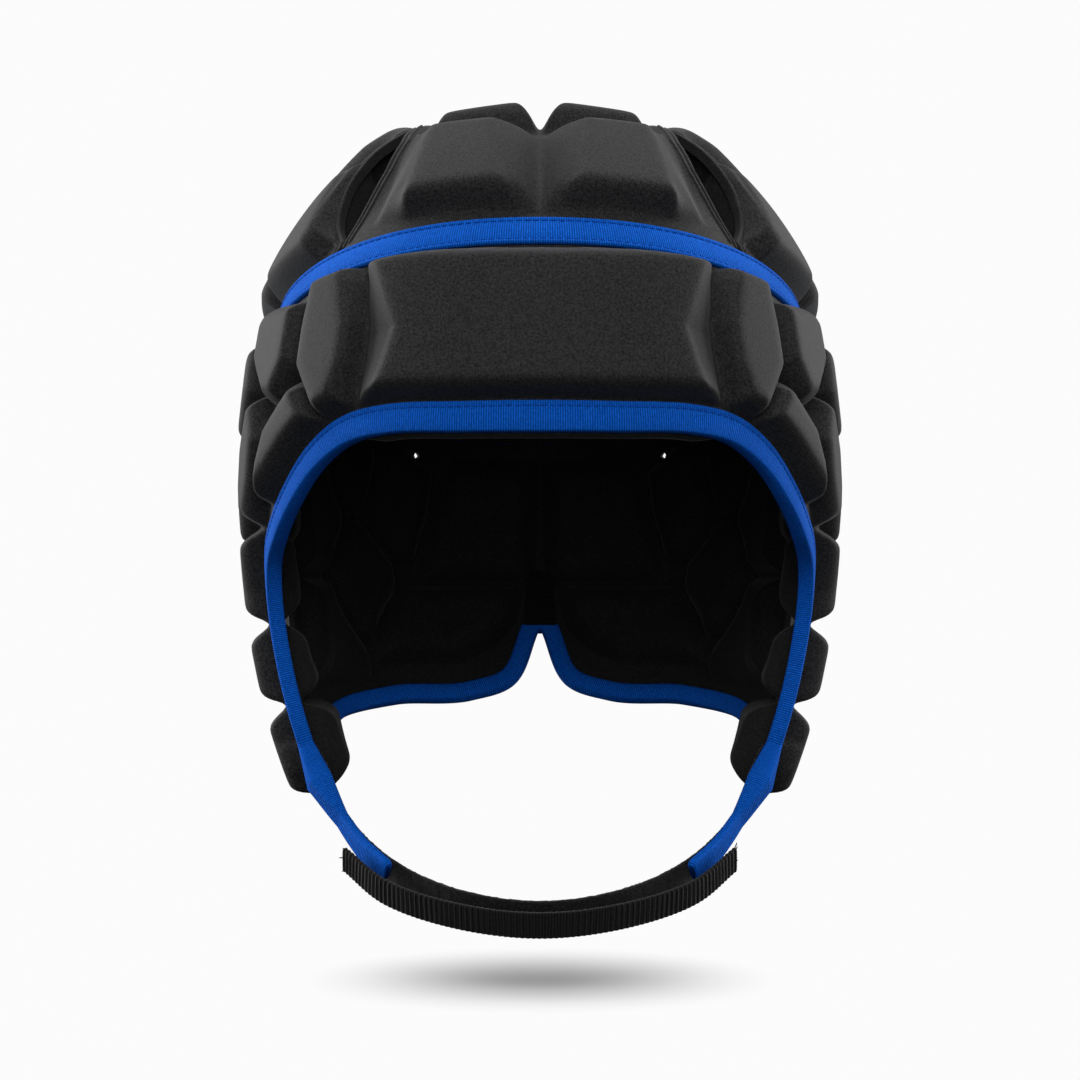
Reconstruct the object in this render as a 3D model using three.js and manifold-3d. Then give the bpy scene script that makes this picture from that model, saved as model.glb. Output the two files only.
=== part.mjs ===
// A soft padded rugby headgear (scrum cap): a hollow fabric shell that fits a head, foam pads
// laid over it in rows, blue binding tape and a chin strap.
// Millimetres, +Z up. The origin is where the top of the head meets the inside of the crown,
// the face looks along -Y, and the wearer's left is +X.

import * as THREE from 'three';
import { mergeVertices } from 'three/addons/utils/BufferGeometryUtils.js';
import Module from 'manifold-3d';

// The hollow: a rounded form, widest at the ears, squarer than an ellipsoid.
const HALF_WIDTH = 85;
const HALF_LENGTH = 100;
const PLAN_POWER = 2.2;
const WIDEST_DROP = 112;
const CROWN_POWER = 2.5;
const JAW_DEPTH = 150;
const NAPE_DEPTH = 112;
const LOWER_POWER = 2.2;

// The fabric shell and what lies on it.
const FABRIC = 2.5;
const SEAT = 0.7;
const SEAM = 0.6;
const BAND_SEAM = 0.8;
const PAD_RISE = 6.8;
const PAD_LIP = 1.6;
const PAD_BEVEL = 6;
const PAD_BEVEL_SHARE = 0.3;
const PAD_STEP = 14;

// The blue tape round the crown lies in a plane that falls towards the nape.
const BAND_DROP = 68.5;
const BAND_FALL = 0.3;
const BAND_WIDTH = 9;
const TAPE = 1.1;

// Binding folded over the edges: its leaf is wide at the brow and narrows over the
// first share of the way to the ear flap.
const BROW_LEAF = 8.7;
const CHEEK_LEAF = 6.2;
const LEAF_TAPER = 0.5;
const NAPE_LEAF = 6.5;

// Ear hole, small vent hole and the two vent slits beside the front of the crown.
const EAR_HOLE = { around: 99.5, drop: 154, halfWidth: 12, halfHeight: 16 };
const VENT_HOLE = { around: 154.5, drop: 102.6, radius: 2.3 };
const CUT_REACH = 30;
const SLIT_WIDTH = 10;
const SLIT_FOOT = 47;
const SLIT_TOP = 68;
const SLIT_FOOT_SHARE = 0.2;

// How far over the top the crown's sides stop short of the band beside the centre strip.
const SIDE_TRIM = 2.5;

// Degrees over the top at the crown's middle, and past the band at the brow and at the nape.
const TOP = 90;
const BEFORE_BROW = 20;
const PAST_NAPE = 185;

// Chin strap webbing.
const STRAP_WIDTH = 10;
const STRAP_THICK = 1.6;

// Rounds of each search on the curved surface, the step that finds its slope, and the least
// sizes that count.
const PASSES = 16;
const SLOPE_STEP = 0.02;
const TINY = 1e-3;
const SAME_PLACE = 1e-4;

// Facets along the curved pieces.
const FACETS = {
  wallDown: 7,
  stripAlong: 14,
  stripAcross: 7,
  sideAlong: 11,
  sideDown: 6,
  band: 40,
  strap: 20,
  strapFront: 14,
  gusset: 4,
  hole: 16,
  vent: 8,
};

// Colours of the pieces.
const BLACK_FOAM = { color: 0x17181a, roughness: 0.85, metalness: 0 };
const BLACK_FABRIC = { color: 0x111214, roughness: 0.9, metalness: 0 };
const BLACK_WEBBING = { color: 0x0f0f10, roughness: 0.8, metalness: 0 };
const BLUE_TAPE = { color: 0x1244b8, roughness: 0.75, metalness: 0 };

// Lower edge of the shell, from the middle of the brow, down the cheek, under the ear flap and
// round to the nape: degrees around from the brow, drop below the crown, and the degrees at
// which the rib of fabric from that point meets the crown band.
const RIM = [
  { around: 0, drop: 101, rib: 0 },
  { around: 13, drop: 101, rib: 12 },
  { around: 25, drop: 101, rib: 22 },
  { around: 34, drop: 103, rib: 31 },
  { around: 42.5, drop: 109, rib: 39 },
  { around: 51, drop: 119, rib: 46 },
  { around: 60, drop: 129.5, rib: 52 },
  { around: 69, drop: 139.5, rib: 60 },
  { around: 74, drop: 153, rib: 69 },
  { around: 74.5, drop: 174, rib: 78 },
  { around: 73.2, drop: 195, rib: 85 },
  { around: 76.5, drop: 209, rib: 91 },
  { around: 86, drop: 214, rib: 97 },
  { around: 99, drop: 210, rib: 106 },
  { around: 119.6, drop: 192, rib: 120 },
  { around: 144.4, drop: 183, rib: 144 },
  { around: 163, drop: 181.5, rib: 163 },
  { around: 173.5, drop: 175, rib: 173 },
  { around: 177, drop: 165, rib: 180 },
];
const RIM_FLAP_FRONT = 10;
const RIM_FLAP_REAR = 13.5;
const RIM_STEP = 0.5;
const RIM_CROWDING = 1.35;

// Gusset of ribbed elastic that fills the gap between the two halves above the nape.
const GUSSET = { topHalf: 2.2, footHalf: 3.8, topDrop: 140, footDrop: 161.5, thick: 1.6 };

// Edge of the crown's centre strip: degrees over the top from the brow, and half its width.
const STRIP_EDGE = [
  { over: 42, half: 52 },
  { over: 47, half: 49.5 },
  { over: 67, half: 37.5 },
  { over: 90, half: 32.5 },
  { over: 115, half: 32.5 },
  { over: 140, half: 38 },
  { over: 175, half: 46 },
];

// Rows of a table, each with its values under the named columns.
function table(columns, rows) {
  return rows.map((row) => Object.fromEntries(row.map((value, i) => [columns[i], value])));
}

// Pads of the lower shell, one of each on either side: four levels by their drop below the
// crown, and the degrees around at which the pad starts and ends at each level.
const WALL_PADS = table(['name', 'level', 'front', 'rear'], [
  ['temple_pad', [55.8, 70.5, 79.5, 93.3], [35, 28, 28.3, 30], [45.2, 45.2, 45.2, 36.5]],
  ['upper_pad_1', [62.3, 67.5, 80, 91], [47.4, 47.2, 47.2, 52], [63.5, 67, 66.3, 57]],
  ['upper_pad_2', [72.3, 78, 88, 102.5], [69.5, 68.7, 68.4, 77.6], [87, 90, 89.5, 83]],
  ['upper_pad_3', [82.5, 88, 99, 113], [92.5, 91.8, 91.5, 100.6], [107.5, 111.3, 110.3, 104.5]],
  ['upper_pad_4', [96, 104, 113, 123], [122.4, 125.2, 128.8, 134.2], [141.3, 142.2, 140.8, 138]],
  ['upper_pad_5', [99.5, 109, 123, 138], [145, 144, 141, 148], [150, 157, 155.8, 152.3]],
  ['middle_pad_1', [86, 97, 107, 119.5], [43.8, 38.7, 48.6, 59.4], [46.7, 56.2, 59.8, 62]],
  ['middle_pad_2', [89, 101.5, 115, 126.5], [62.5, 60, 63.3, 69.5], [67, 76, 79.2, 77]],
  ['middle_pad_3', [97, 112, 125, 134.5], [86, 80.4, 81.2, 85], [87.8, 98.5, 103, 99]],
  ['middle_pad_4', [88.5, 101, 125.5, 142], [113.5, 112.2, 105.2, 110.5], [120.5, 122.6, 131.4, 124.8]],
  ['cheek_pad', [129.5, 138, 148, 156.8], [73, 76.2, 79.8, 80], [80, 87, 89.3, 88]],
  ['jaw_pad', [159.6, 167, 176, 182], [80, 79.8, 79.3, 79.2], [88, 90.3, 98, 102]],
  ['flap_pad', [184.8, 191, 202, 210], [79, 78.6, 78.4, 80.5], [105.5, 104.5, 98, 92.5]],
  ['rear_side_pad_1', [126, 140, 150, 165], [134.6, 128, 127, 134.8], [138, 146.6, 147, 139]],
  ['rear_side_pad_2', [146, 157, 166.5, 177.3], [112.5, 111.2, 108.8, 103.8], [124.2, 128.3, 134.5, 136.2]],
  ['rear_upper_pad', [105.8, 112, 140, 146], [162, 160, 154.8, 154.5], [178.6, 178.4, 178, 177]],
  ['rear_lower_pad', [149, 161, 168, 173], [149.8, 143, 140.8, 139.8], [175.4, 173.6, 169, 162]],
]);

// Pads of the crown's sides: levels in percent from the strip down to the band, and where the
// pad starts and ends in percent from front to rear.
const SIDE_PADS = table(['name', 'level', 'front', 'rear'], [
  ['crown_side_pad_1', [13, 25, 70, 86], [8, 7, 8, 12], [29, 32, 34, 31]],
  ['crown_side_pad_2', [7, 22, 72, 90], [34, 35, 37, 36], [60, 63, 66, 64]],
  ['crown_side_pad_3', [7, 22, 68, 84], [65, 66, 68.5, 68], [93, 93, 92, 88]],
]);

// Pads of the crown's centre strip, two abreast: levels across from the middle in mm, how much
// wider the pad is at its front, and where it starts and ends in degrees over the top.
const STRIP_PADS = table(['name', 'level', 'lean', 'front', 'rear'], [
  ['crown_pad_1', [2, 9, 28, 33], 14, [43.6, 43.6, 45, 46.6], [67.5, 67.5, 67, 64.5]],
  ['crown_pad_2', [2, 8, 25, 30], 0, [70, 69.6, 69.6, 71], [98, 98.4, 98.4, 97]],
  ['crown_pad_3', [2, 8, 25, 30.5], 0, [100.6, 100, 100, 101], [134, 134.4, 134.4, 133]],
  ['crown_pad_4', [2, 8, 29, 35], -8, [136.6, 136, 136, 137], [167.4, 167.4, 167, 166]],
]);

// Brow pad: pinched at the waist, its half-width in degrees at each level.
const BROW_PAD = { level: [50.8, 70, 84, 91.3], half: [30, 21.7, 24.6, 25.8] };

// Blue tongue that the cheek binding runs out into, on the wearer's left, with the way its
// outer face looks, its width and how far its two leaves stand apart.
const TONGUE = [
  { at: [68.6, -31, -207], face: [0.95, -0.3, -0.1], width: 7, part: 5.4 },
  { at: [61, -38, -218.5], face: [0.85, -0.5, -0.2], width: 7.5, part: 0.5 },
  { at: [54.5, -45, -226.5], face: [0.72, -0.62, -0.3], width: 9, part: 0.5 },
  { at: [47.5, -52, -233], face: [0.6, -0.72, -0.35], width: 10, part: 0.5 },
];

// Chin strap, from its sewn end inside the left flap to the middle of the chin.
const STRAP = [
  { at: [70, -12, -192], face: [1, -0.15, -0.25] },
  { at: [66, -17, -206], face: [1, -0.25, -0.25] },
  { at: [63, -25, -216], face: [0.9, -0.4, -0.3] },
  { at: [56, -36, -225], face: [0.75, -0.6, -0.35] },
  { at: [42, -51.5, -234.5], face: [0.55, -0.75, -0.4] },
  { at: [22, -66.5, -240.8], face: [0.3, -0.9, -0.45] },
  { at: [0, -72.5, -243], face: [0, -0.9, -0.45] },
];

// Ribbed outer layer of the chin strap, from its left end to the middle.
const STRAP_FRONT = [
  { at: [59.5, -46.5, -229.5], face: [0.75, -0.6, -0.35] },
  { at: [46.5, -59.5, -238], face: [0.55, -0.75, -0.4] },
  { at: [24, -72, -243.8], face: [0.3, -0.9, -0.45] },
  { at: [0, -77.5, -245.8], face: [0, -0.9, -0.45] },
];

const CENTRE = new THREE.Vector3(0, 0, -WIDEST_DROP);
const OUTER = FABRIC + SEAT;
const RIM_END = RIM.length - 1;
const vector = ([x, y, z]) => new THREE.Vector3(x, y, z);
const mix = THREE.MathUtils.lerp;

function planSize(x, y) {
  const across = (Math.abs(x) / HALF_WIDTH) ** PLAN_POWER;
  const along = (Math.abs(y) / HALF_LENGTH) ** PLAN_POWER;
  return (across + along) ** (1 / PLAN_POWER);
}

// Depth of the hollow below its widest level, in the direction of x and y.
function lowerDepth(x, y) {
  const back = y > 0 ? (y * y) / (x * x + y * y) : 0;
  return mix(JAW_DEPTH, NAPE_DEPTH, back);
}

// 1 on the hollow's surface, for a place measured from its centre.
function fullness(x, y, z) {
  const power = z > 0 ? CROWN_POWER : LOWER_POWER;
  const depth = z > 0 ? WIDEST_DROP : lowerDepth(x, y);
  return (planSize(x, y) ** power + (Math.abs(z) / depth) ** power) ** (1 / power);
}

// A point moved straight out from the centre onto the hollow, then raised along the normal.
function onHead(point, rise = 0) {
  const place = point.clone().sub(CENTRE);
  place.divideScalar(fullness(place.x, place.y, place.z));
  return place.addScaledVector(headNormal(place), rise).add(CENTRE);
}

function headNormal({ x, y, z }) {
  const step = SLOPE_STEP;
  return new THREE.Vector3(
    fullness(x + step, y, z) - fullness(x - step, y, z),
    fullness(x, y + step, z) - fullness(x, y - step, z),
    fullness(x, y, z + step) - fullness(x, y, z - step),
  ).normalize();
}

// The hollow's point at some degrees around from the brow and some drop below the crown.
function wallPoint(around, drop) {
  const angle = THREE.MathUtils.degToRad(around);
  const [x, y] = [Math.sin(angle), -Math.cos(angle)];
  const height = WIDEST_DROP - drop;
  const power = height > 0 ? CROWN_POWER : LOWER_POWER;
  const depth = height > 0 ? WIDEST_DROP : lowerDepth(x, y);
  const size = (1 - (Math.abs(height) / depth) ** power) ** (1 / power) / planSize(x, y);
  return new THREE.Vector3(x * size, y * size, -drop);
}

// The hollow's point at some degrees over the top from the brow and some mm across.
function crownPoint(over, across) {
  const angle = THREE.MathUtils.degToRad(over);
  let lean = across / WIDEST_DROP;
  let point;
  for (let pass = 0; pass < PASSES; pass += 1) {
    const ray = new THREE.Vector3(lean, -Math.cos(angle), Math.sin(angle));
    point = onHead(ray.add(CENTRE));
    lean *= across / point.x;
  }
  return point;
}

function bandDrop(around) {
  let drop = BAND_DROP;
  for (let pass = 0; pass < PASSES; pass += 1) {
    drop = BAND_DROP + BAND_FALL * wallPoint(around, drop).y;
  }
  return drop;
}

function bandPoint(around, below = 0) {
  return wallPoint(around, bandDrop(around) + below);
}

// Degrees over the top at which a line down from the crown reaches the band's seam.
function overAtBand(line, outside) {
  let [inner, outer] = [TOP, outside];
  for (let pass = 0; pass < PASSES; pass += 1) {
    const middle = (inner + outer) / 2;
    const point = line(middle);
    const above = point.z + BAND_DROP + BAND_FALL * point.y;
    if (above > BAND_SEAM) inner = middle;
    else outer = middle;
  }
  return inner;
}

// A value read from a table's column at a place along another column.
function readTable(rows, key, column, at) {
  const last = rows.findIndex((row) => row[key] >= at);
  const end = last < 0 ? rows.length - 1 : Math.max(last, 1);
  const [a, b] = [rows[end - 1], rows[end]];
  return mix(a[column], b[column], (at - a[key]) / (b[key] - a[key]));
}

function sideEdgePoint(over) {
  const half = readTable(STRIP_EDGE, 'over', 'half', over);
  const along = Math.max(0, (over - SLIT_FOOT) / (SLIT_TOP - SLIT_FOOT));
  const slit = along < 1 ? SLIT_WIDTH * Math.sin(Math.PI * mix(SLIT_FOOT_SHARE, 1, along)) : 0;
  return crownPoint(over, half + SEAM + slit);
}

function sideEnd(outside, trim) {
  const over = overAtBand(sideEdgePoint, outside) + trim;
  const point = sideEdgePoint(over);
  return { over, around: THREE.MathUtils.radToDeg(Math.atan2(point.x, -point.y)) };
}

const sideFront = sideEnd(BEFORE_BROW, SIDE_TRIM);
const sideRear = sideEnd(PAST_NAPE, -SIDE_TRIM);

// The crown side's point: percent from front to rear, percent from the strip to the band.
function sidePoint(along, down) {
  const over = mix(sideFront.over, sideRear.over, along / 100);
  const around = mix(sideFront.around, sideRear.around, along / 100);
  const low = bandPoint(around, -BAND_SEAM);
  return onHead(sideEdgePoint(over).lerp(low, down / 100));
}

// A mesh geometry from corner points and faces, turned so that its faces look out.
function solidGeometry(points, faces) {
  let volume = 0;
  for (const [a, b, c] of faces) {
    volume += points[a].dot(points[b].clone().cross(points[c]));
  }
  const turned = volume < 0 ? faces.map(([a, b, c]) => [a, c, b]) : faces;
  const geometry = new THREE.BufferGeometry().setFromPoints(points);
  geometry.setIndex(turned.flat());
  return geometry;
}

function quad(a, b, c, d) {
  return [[a, b, c], [a, c, d]];
}

// A closed slab between two grids of points that have the same rows and columns.
function slabGeometry(lower, upper) {
  const rows = lower.length;
  const columns = lower[0].length;
  const points = [...lower.flat(), ...upper.flat()];
  const low = (r, c) => r * columns + c;
  const high = (r, c) => rows * columns + low(r, c);
  const faces = [];
  for (let r = 0; r + 1 < rows; r += 1) {
    for (let c = 0; c + 1 < columns; c += 1) {
      faces.push(...quad(low(r, c), low(r + 1, c), low(r + 1, c + 1), low(r, c + 1)));
      faces.push(...quad(high(r, c), high(r, c + 1), high(r + 1, c + 1), high(r + 1, c)));
    }
    const end = columns - 1;
    faces.push(...quad(low(r, 0), high(r, 0), high(r + 1, 0), low(r + 1, 0)));
    faces.push(...quad(low(r, end), low(r + 1, end), high(r + 1, end), high(r, end)));
  }
  for (let c = 0; c + 1 < columns; c += 1) {
    const end = rows - 1;
    faces.push(...quad(low(0, c), low(0, c + 1), high(0, c + 1), high(0, c)));
    faces.push(...quad(low(end, c), high(end, c), high(end, c + 1), low(end, c + 1)));
  }
  return solidGeometry(points, faces);
}

function gridOf(rows, columns, point) {
  return rows.map((r) => columns.map((c) => point(r, c)));
}

function steps(from, to, count) {
  return Array.from({ length: count + 1 }, (_, i) => mix(from, to, i / count));
}

const mirrored = (point, side) => new THREE.Vector3(point.x * side, point.y, point.z);

// A fabric panel: the head's surface over a grid, one fabric thick.
function panelGeometry(rows, columns, side, place) {
  const lift = (rise) => (r, c) => mirrored(onHead(place(r, c), rise), side);
  return slabGeometry(gridOf(rows, columns, lift(0)), gridOf(rows, columns, lift(FABRIC)));
}

// Rows or columns of a pad in mm: its own lines, a bevel line inside each end, even steps between.
function padLines(stops) {
  const end = stops.at(-1);
  const near = (at) => stops.some((stop) => Math.abs(stop - at) < PAD_BEVEL / 2);
  const bevels = [PAD_BEVEL, end - PAD_BEVEL].filter((at) => !near(at));
  const lines = [...stops, ...bevels].sort((a, b) => a - b);
  return lines.flatMap((at, i) => {
    if (i === 0) return [at];
    const count = Math.ceil((at - lines[i - 1]) / PAD_STEP);
    return steps(lines[i - 1], at, count).slice(1);
  });
}

// A foam pad laid on the shell: four levels with a start and an end, bevelled all round.
function padGeometry(pad, side, place) {
  const at = (values, v) => {
    const low = Math.min(Math.floor(v), values.length - 2);
    return mix(values[low], values[low + 1], v - low);
  };
  const point = (v, u) => {
    const [from, to] = [at(pad.front, v), at(pad.rear, v)];
    return place(at(pad.level, v), mix(from, to, u), u);
  };
  const stops = [0];
  for (let i = 1; i < pad.level.length; i += 1) {
    stops.push(stops[i - 1] + point(i - 1, 0.5).distanceTo(point(i, 0.5)));
  }
  const rows = padLines(stops).map((mm) => {
    const next = Math.max(1, stops.findIndex((stop) => stop >= mm - TINY));
    return next - 1 + (mm - stops[next - 1]) / (stops[next] - stops[next - 1]);
  });
  const widths = rows.map((v) => point(v, 0).distanceTo(point(v, 1)));
  const inner = Math.max(1, Math.ceil((Math.max(...widths) - 2 * PAD_BEVEL) / PAD_STEP));
  const bottom = [];
  const top = [];
  rows.forEach((v, r) => {
    const bevel = Math.min(PAD_BEVEL / widths[r], PAD_BEVEL_SHARE);
    const columns = [0, ...steps(bevel, 1 - bevel, inner), 1];
    const edgeRow = r === 0 || r === rows.length - 1;
    bottom.push(columns.map((u) => mirrored(onHead(point(v, u), OUTER), side)));
    top.push(columns.map((u) => {
      const rise = edgeRow || u === 0 || u === 1 ? PAD_LIP : PAD_RISE;
      return mirrored(onHead(point(v, u), OUTER + rise), side);
    }));
  });
  return slabGeometry(bottom, top);
}

// A closed sweep: rings of points with the same count, with flat ends given as quads of a ring.
function sweepGeometry(rings, caps) {
  const size = rings[0].length;
  const faces = [];
  for (let i = 0; i + 1 < rings.length; i += 1) {
    for (let k = 0; k < size; k += 1) {
      const next = (k + 1) % size;
      const [a, b] = [i * size, (i + 1) * size];
      faces.push(...quad(a + k, a + next, b + next, b + k));
    }
  }
  const last = (rings.length - 1) * size;
  for (const [a, b, c, d] of caps) {
    faces.push(...quad(d, c, b, a));
    faces.push(...quad(last + a, last + b, last + c, last + d));
  }
  return solidGeometry(rings.flat(), faces);
}

// Section of tape folded over an edge: two leaves and the fold between them.
const FOLD_CAPS = [[0, 1, 6, 7], [1, 2, 5, 6], [2, 3, 4, 5]];
function foldRing(leaf, slotIn, slotOut, edge, place) {
  return [
    place(leaf, slotOut + TAPE),
    place(-edge - TAPE, slotOut + TAPE),
    place(-edge - TAPE, slotIn - TAPE),
    place(leaf, slotIn - TAPE),
    place(leaf, slotIn),
    place(-edge, slotIn),
    place(-edge, slotOut),
    place(leaf, slotOut),
  ];
}

// Places along a curve on the shell, each with the direction that leads onto the fabric.
function edgePlaces(curve, fractions) {
  return fractions.map((fraction) => {
    const point = onHead(curve.getPoint(fraction));
    const normal = headNormal(point.clone().sub(CENTRE));
    const inward = normal.cross(curve.getTangent(fraction)).normalize();
    return (reach, rise) => onHead(point.clone().addScaledVector(inward, reach), rise);
  });
}

// A flat webbing along a table's places, from its end on one side to its end on the other.
function strapGeometry(rows, count) {
  const other = rows.slice(0, -1).reverse();
  const turn = ([x, y, z]) => [-x, y, z];
  const places = [...rows.map((row) => row.at), ...other.map((row) => turn(row.at))];
  const faces = [...rows.map((row) => row.face), ...other.map((row) => turn(row.face))];
  const path = new THREE.CatmullRomCurve3(places.map(vector), false, 'centripetal');
  const looks = new THREE.CatmullRomCurve3(faces.map(vector), false, 'centripetal');
  const rings = steps(0, 1, count).map((fraction) => {
    const along = path.getTangent(fraction);
    const across = looks.getPoint(fraction).cross(along).normalize();
    const out = along.clone().cross(across).normalize();
    const corner = (a, o) => path.getPoint(fraction)
      .addScaledVector(across, a * STRAP_WIDTH / 2)
      .addScaledVector(out, o * STRAP_THICK / 2);
    return [corner(1, 1), corner(-1, 1), corner(-1, -1), corner(1, -1)];
  });
  return sweepGeometry(rings, [[0, 1, 2, 3]]);
}

const rimPoints = RIM.map((row) => wallPoint(row.around, row.drop));
const rimCurve = new THREE.CatmullRomCurve3(rimPoints, false, 'centripetal');

// A point of the side wall: along the rim by its table's rows, and down from the band.
function ribPoint(row, down) {
  const share = row / RIM_END;
  const from = Math.min(Math.floor(row), RIM.length - 2);
  const rib = mix(RIM[from].rib, RIM[from + 1].rib, row - from);
  return bandPoint(rib, BAND_SEAM).lerp(rimCurve.getPoint(share), down);
}

// Closed solids for the cuts.
const wasm = await Module();
wasm.setup();

function toSolid(geometry) {
  const bare = geometry.clone();
  bare.deleteAttribute('normal');
  bare.deleteAttribute('uv');
  const merged = mergeVertices(bare, SAME_PLACE);
  const vertProperties = new Float32Array(merged.attributes.position.array);
  const triVerts = new Uint32Array(merged.index.array);
  return new wasm.Manifold(new wasm.Mesh({ numProp: 3, vertProperties, triVerts }));
}

function fromSolid(solid) {
  const { vertProperties, triVerts } = solid.getMesh();
  const geometry = new THREE.BufferGeometry();
  geometry.setAttribute('position', new THREE.BufferAttribute(new Float32Array(vertProperties), 3));
  geometry.setIndex(new THREE.BufferAttribute(new Uint32Array(triVerts), 1));
  return geometry;
}

// Cutter for the ear hole: an oval through the wall, from side to side.
function earCutter(side) {
  const shape = new THREE.Shape();
  shape.absellipse(0, 0, EAR_HOLE.halfHeight, EAR_HOLE.halfWidth, 0, 2 * Math.PI, false, 0);
  const options = { depth: CUT_REACH, bevelEnabled: false, curveSegments: FACETS.hole };
  const cutter = new THREE.ExtrudeGeometry(shape, options);
  const middle = wallPoint(EAR_HOLE.around, EAR_HOLE.drop);
  cutter.translate(0, 0, -CUT_REACH / 2).rotateY(Math.PI / 2);
  return cutter.translate(middle.x * side, middle.y, middle.z);
}

// Cutter for a small vent hole, square to the shell.
function ventCutter(side) {
  const middle = mirrored(wallPoint(VENT_HOLE.around, VENT_HOLE.drop), side);
  const normal = headNormal(middle.clone().sub(CENTRE));
  const { radius } = VENT_HOLE;
  const cutter = new THREE.CylinderGeometry(radius, radius, CUT_REACH, FACETS.vent);
  const turn = new THREE.Quaternion().setFromUnitVectors(new THREE.Vector3(0, 1, 0), normal);
  return cutter.applyQuaternion(turn).translate(middle.x, middle.y, middle.z);
}

function sideWallGeometry(side) {
  const rows = steps(0, RIM_END, RIM_END / RIM_STEP);
  const front = SEAM / 2;
  const place = (row, down) => {
    const point = ribPoint(row, down);
    return point.x < front ? point.setX(front) : point;
  };
  const columns = steps(1, 0, FACETS.wallDown).map((share) => 1 - share ** RIM_CROWDING);
  const wall = panelGeometry(rows, columns, side, place);
  const cutters = [earCutter(side), ventCutter(side)].map(toSolid);
  return fromSolid(cutters.reduce((solid, cutter) => solid.subtract(cutter), toSolid(wall)));
}

function crownStripGeometry() {
  const place = (over, share) => {
    const across = share * readTable(STRIP_EDGE, 'over', 'half', over);
    return crownPoint(over, across || TINY);
  };
  const along = steps(0, 1, FACETS.stripAlong);
  const shares = steps(-1, 1, FACETS.stripAcross);
  return panelGeometry(along, shares, 1, (part, share) => {
    const front = overAtBand((over) => place(over, share), BEFORE_BROW);
    const rear = overAtBand((over) => place(over, share), PAST_NAPE);
    return place(mix(front, rear, part), share);
  });
}

function crownBandGeometry() {
  const rings = steps(0, 360, FACETS.band).slice(0, -1).map((around) => {
    const turn = around > 180 ? 360 - around : around;
    const side = around > 180 ? -1 : 1;
    const slope = headNormal(bandPoint(turn).sub(CENTRE)).z;
    const half = (BAND_WIDTH / 2) * Math.sqrt(1 - slope * slope);
    const place = (below, rise) => mirrored(onHead(bandPoint(turn, below), rise), side);
    const top = OUTER + TAPE;
    return [place(-half, OUTER), place(half, OUTER), place(half, top), place(-half, top)];
  });
  return sweepGeometry([...rings, rings[0]], []);
}

// Tape folded over the whole face edge, running out into a tongue at each end.
function faceBindingGeometry() {
  const end = RIM_FLAP_FRONT / RIM_END;
  const fractions = steps(0, end, RIM_FLAP_FRONT / RIM_STEP);
  const rim = edgePlaces(rimCurve, fractions).map((place, i) => {
    const leaf = mix(BROW_LEAF, CHEEK_LEAF, Math.min(1, fractions[i] / (end * LEAF_TAPER)));
    return foldRing(leaf, -SEAT, OUTER, SEAT, place);
  });
  const path = new THREE.CatmullRomCurve3(TONGUE.map((row) => vector(row.at)), false, 'centripetal');
  const tongue = TONGUE.map((row, i) => {
    const along = path.getTangent(i / (TONGUE.length - 1));
    const back = vector(row.face).cross(along).normalize();
    const out = along.clone().cross(back).normalize();
    const place = (reach, rise) => vector(row.at)
      .addScaledVector(back, reach - row.width / 2).addScaledVector(out, rise);
    return foldRing(row.width, -row.part / 2, row.part / 2, 0, place);
  });
  const left = [...rim, ...tongue];
  const right = left.slice(1).reverse().map((ring) => ring.map((point) => mirrored(point, -1)));
  return sweepGeometry([...right, ...left], FOLD_CAPS);
}

// Tape folded over the lower edge, from one ear flap round the nape to the other.
function napeBindingGeometry() {
  const fractions = steps(RIM_FLAP_REAR / RIM_END, 1, (RIM_END - RIM_FLAP_REAR) / RIM_STEP);
  const rim = edgePlaces(rimCurve, fractions);
  const left = rim.map((place) => foldRing(NAPE_LEAF, -SEAT, OUTER, SEAT, place));
  const right = left.slice().reverse().map((ring) => ring.map((point) => mirrored(point, -1)));
  return sweepGeometry([...left, ...right], FOLD_CAPS);
}

function gussetGeometry() {
  const rows = steps(GUSSET.topDrop, GUSSET.footDrop, FACETS.gusset);
  const columns = steps(-1, 1, FACETS.gusset);
  const lift = (rise) => (drop, across) => {
    const down = (drop - GUSSET.topDrop) / (GUSSET.footDrop - GUSSET.topDrop);
    const half = mix(GUSSET.topHalf, GUSSET.footHalf, down);
    return onHead(wallPoint(180, drop).setX(across * half), rise);
  };
  return slabGeometry(gridOf(rows, columns, lift(0)), gridOf(rows, columns, lift(GUSSET.thick)));
}

function browPadGeometry() {
  const pad = { level: BROW_PAD.level, front: BROW_PAD.half.map((half) => -half), rear: BROW_PAD.half };
  return padGeometry(pad, 1, (drop, around) => {
    const point = wallPoint(Math.abs(around), drop);
    return mirrored(point, Math.sign(around) || 1);
  });
}

const headgear = new THREE.Group();

function add(name, geometry, finish) {
  const mesh = new THREE.Mesh(geometry, new THREE.MeshStandardMaterial(finish));
  mesh.geometry.computeVertexNormals();
  mesh.name = name;
  headgear.add(mesh);
}

const SIDES = [{ hand: 'left', side: 1 }, { hand: 'right', side: -1 }];
const wallPlace = (drop, around) => wallPoint(around, drop);
const sidePlace = (down, along) => sidePoint(along, down);

add('brow_pad', browPadGeometry(), BLACK_FOAM);
add('crown_strip', crownStripGeometry(), BLACK_FABRIC);
add('crown_band', crownBandGeometry(), BLUE_TAPE);
add('face_binding', faceBindingGeometry(), BLUE_TAPE);
add('nape_binding', napeBindingGeometry(), BLUE_TAPE);
add('nape_gusset', gussetGeometry(), BLACK_WEBBING);
add('chin_strap', strapGeometry(STRAP, FACETS.strap), BLACK_WEBBING);
add('chin_strap_front', strapGeometry(STRAP_FRONT, FACETS.strapFront), BLACK_WEBBING);

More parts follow.
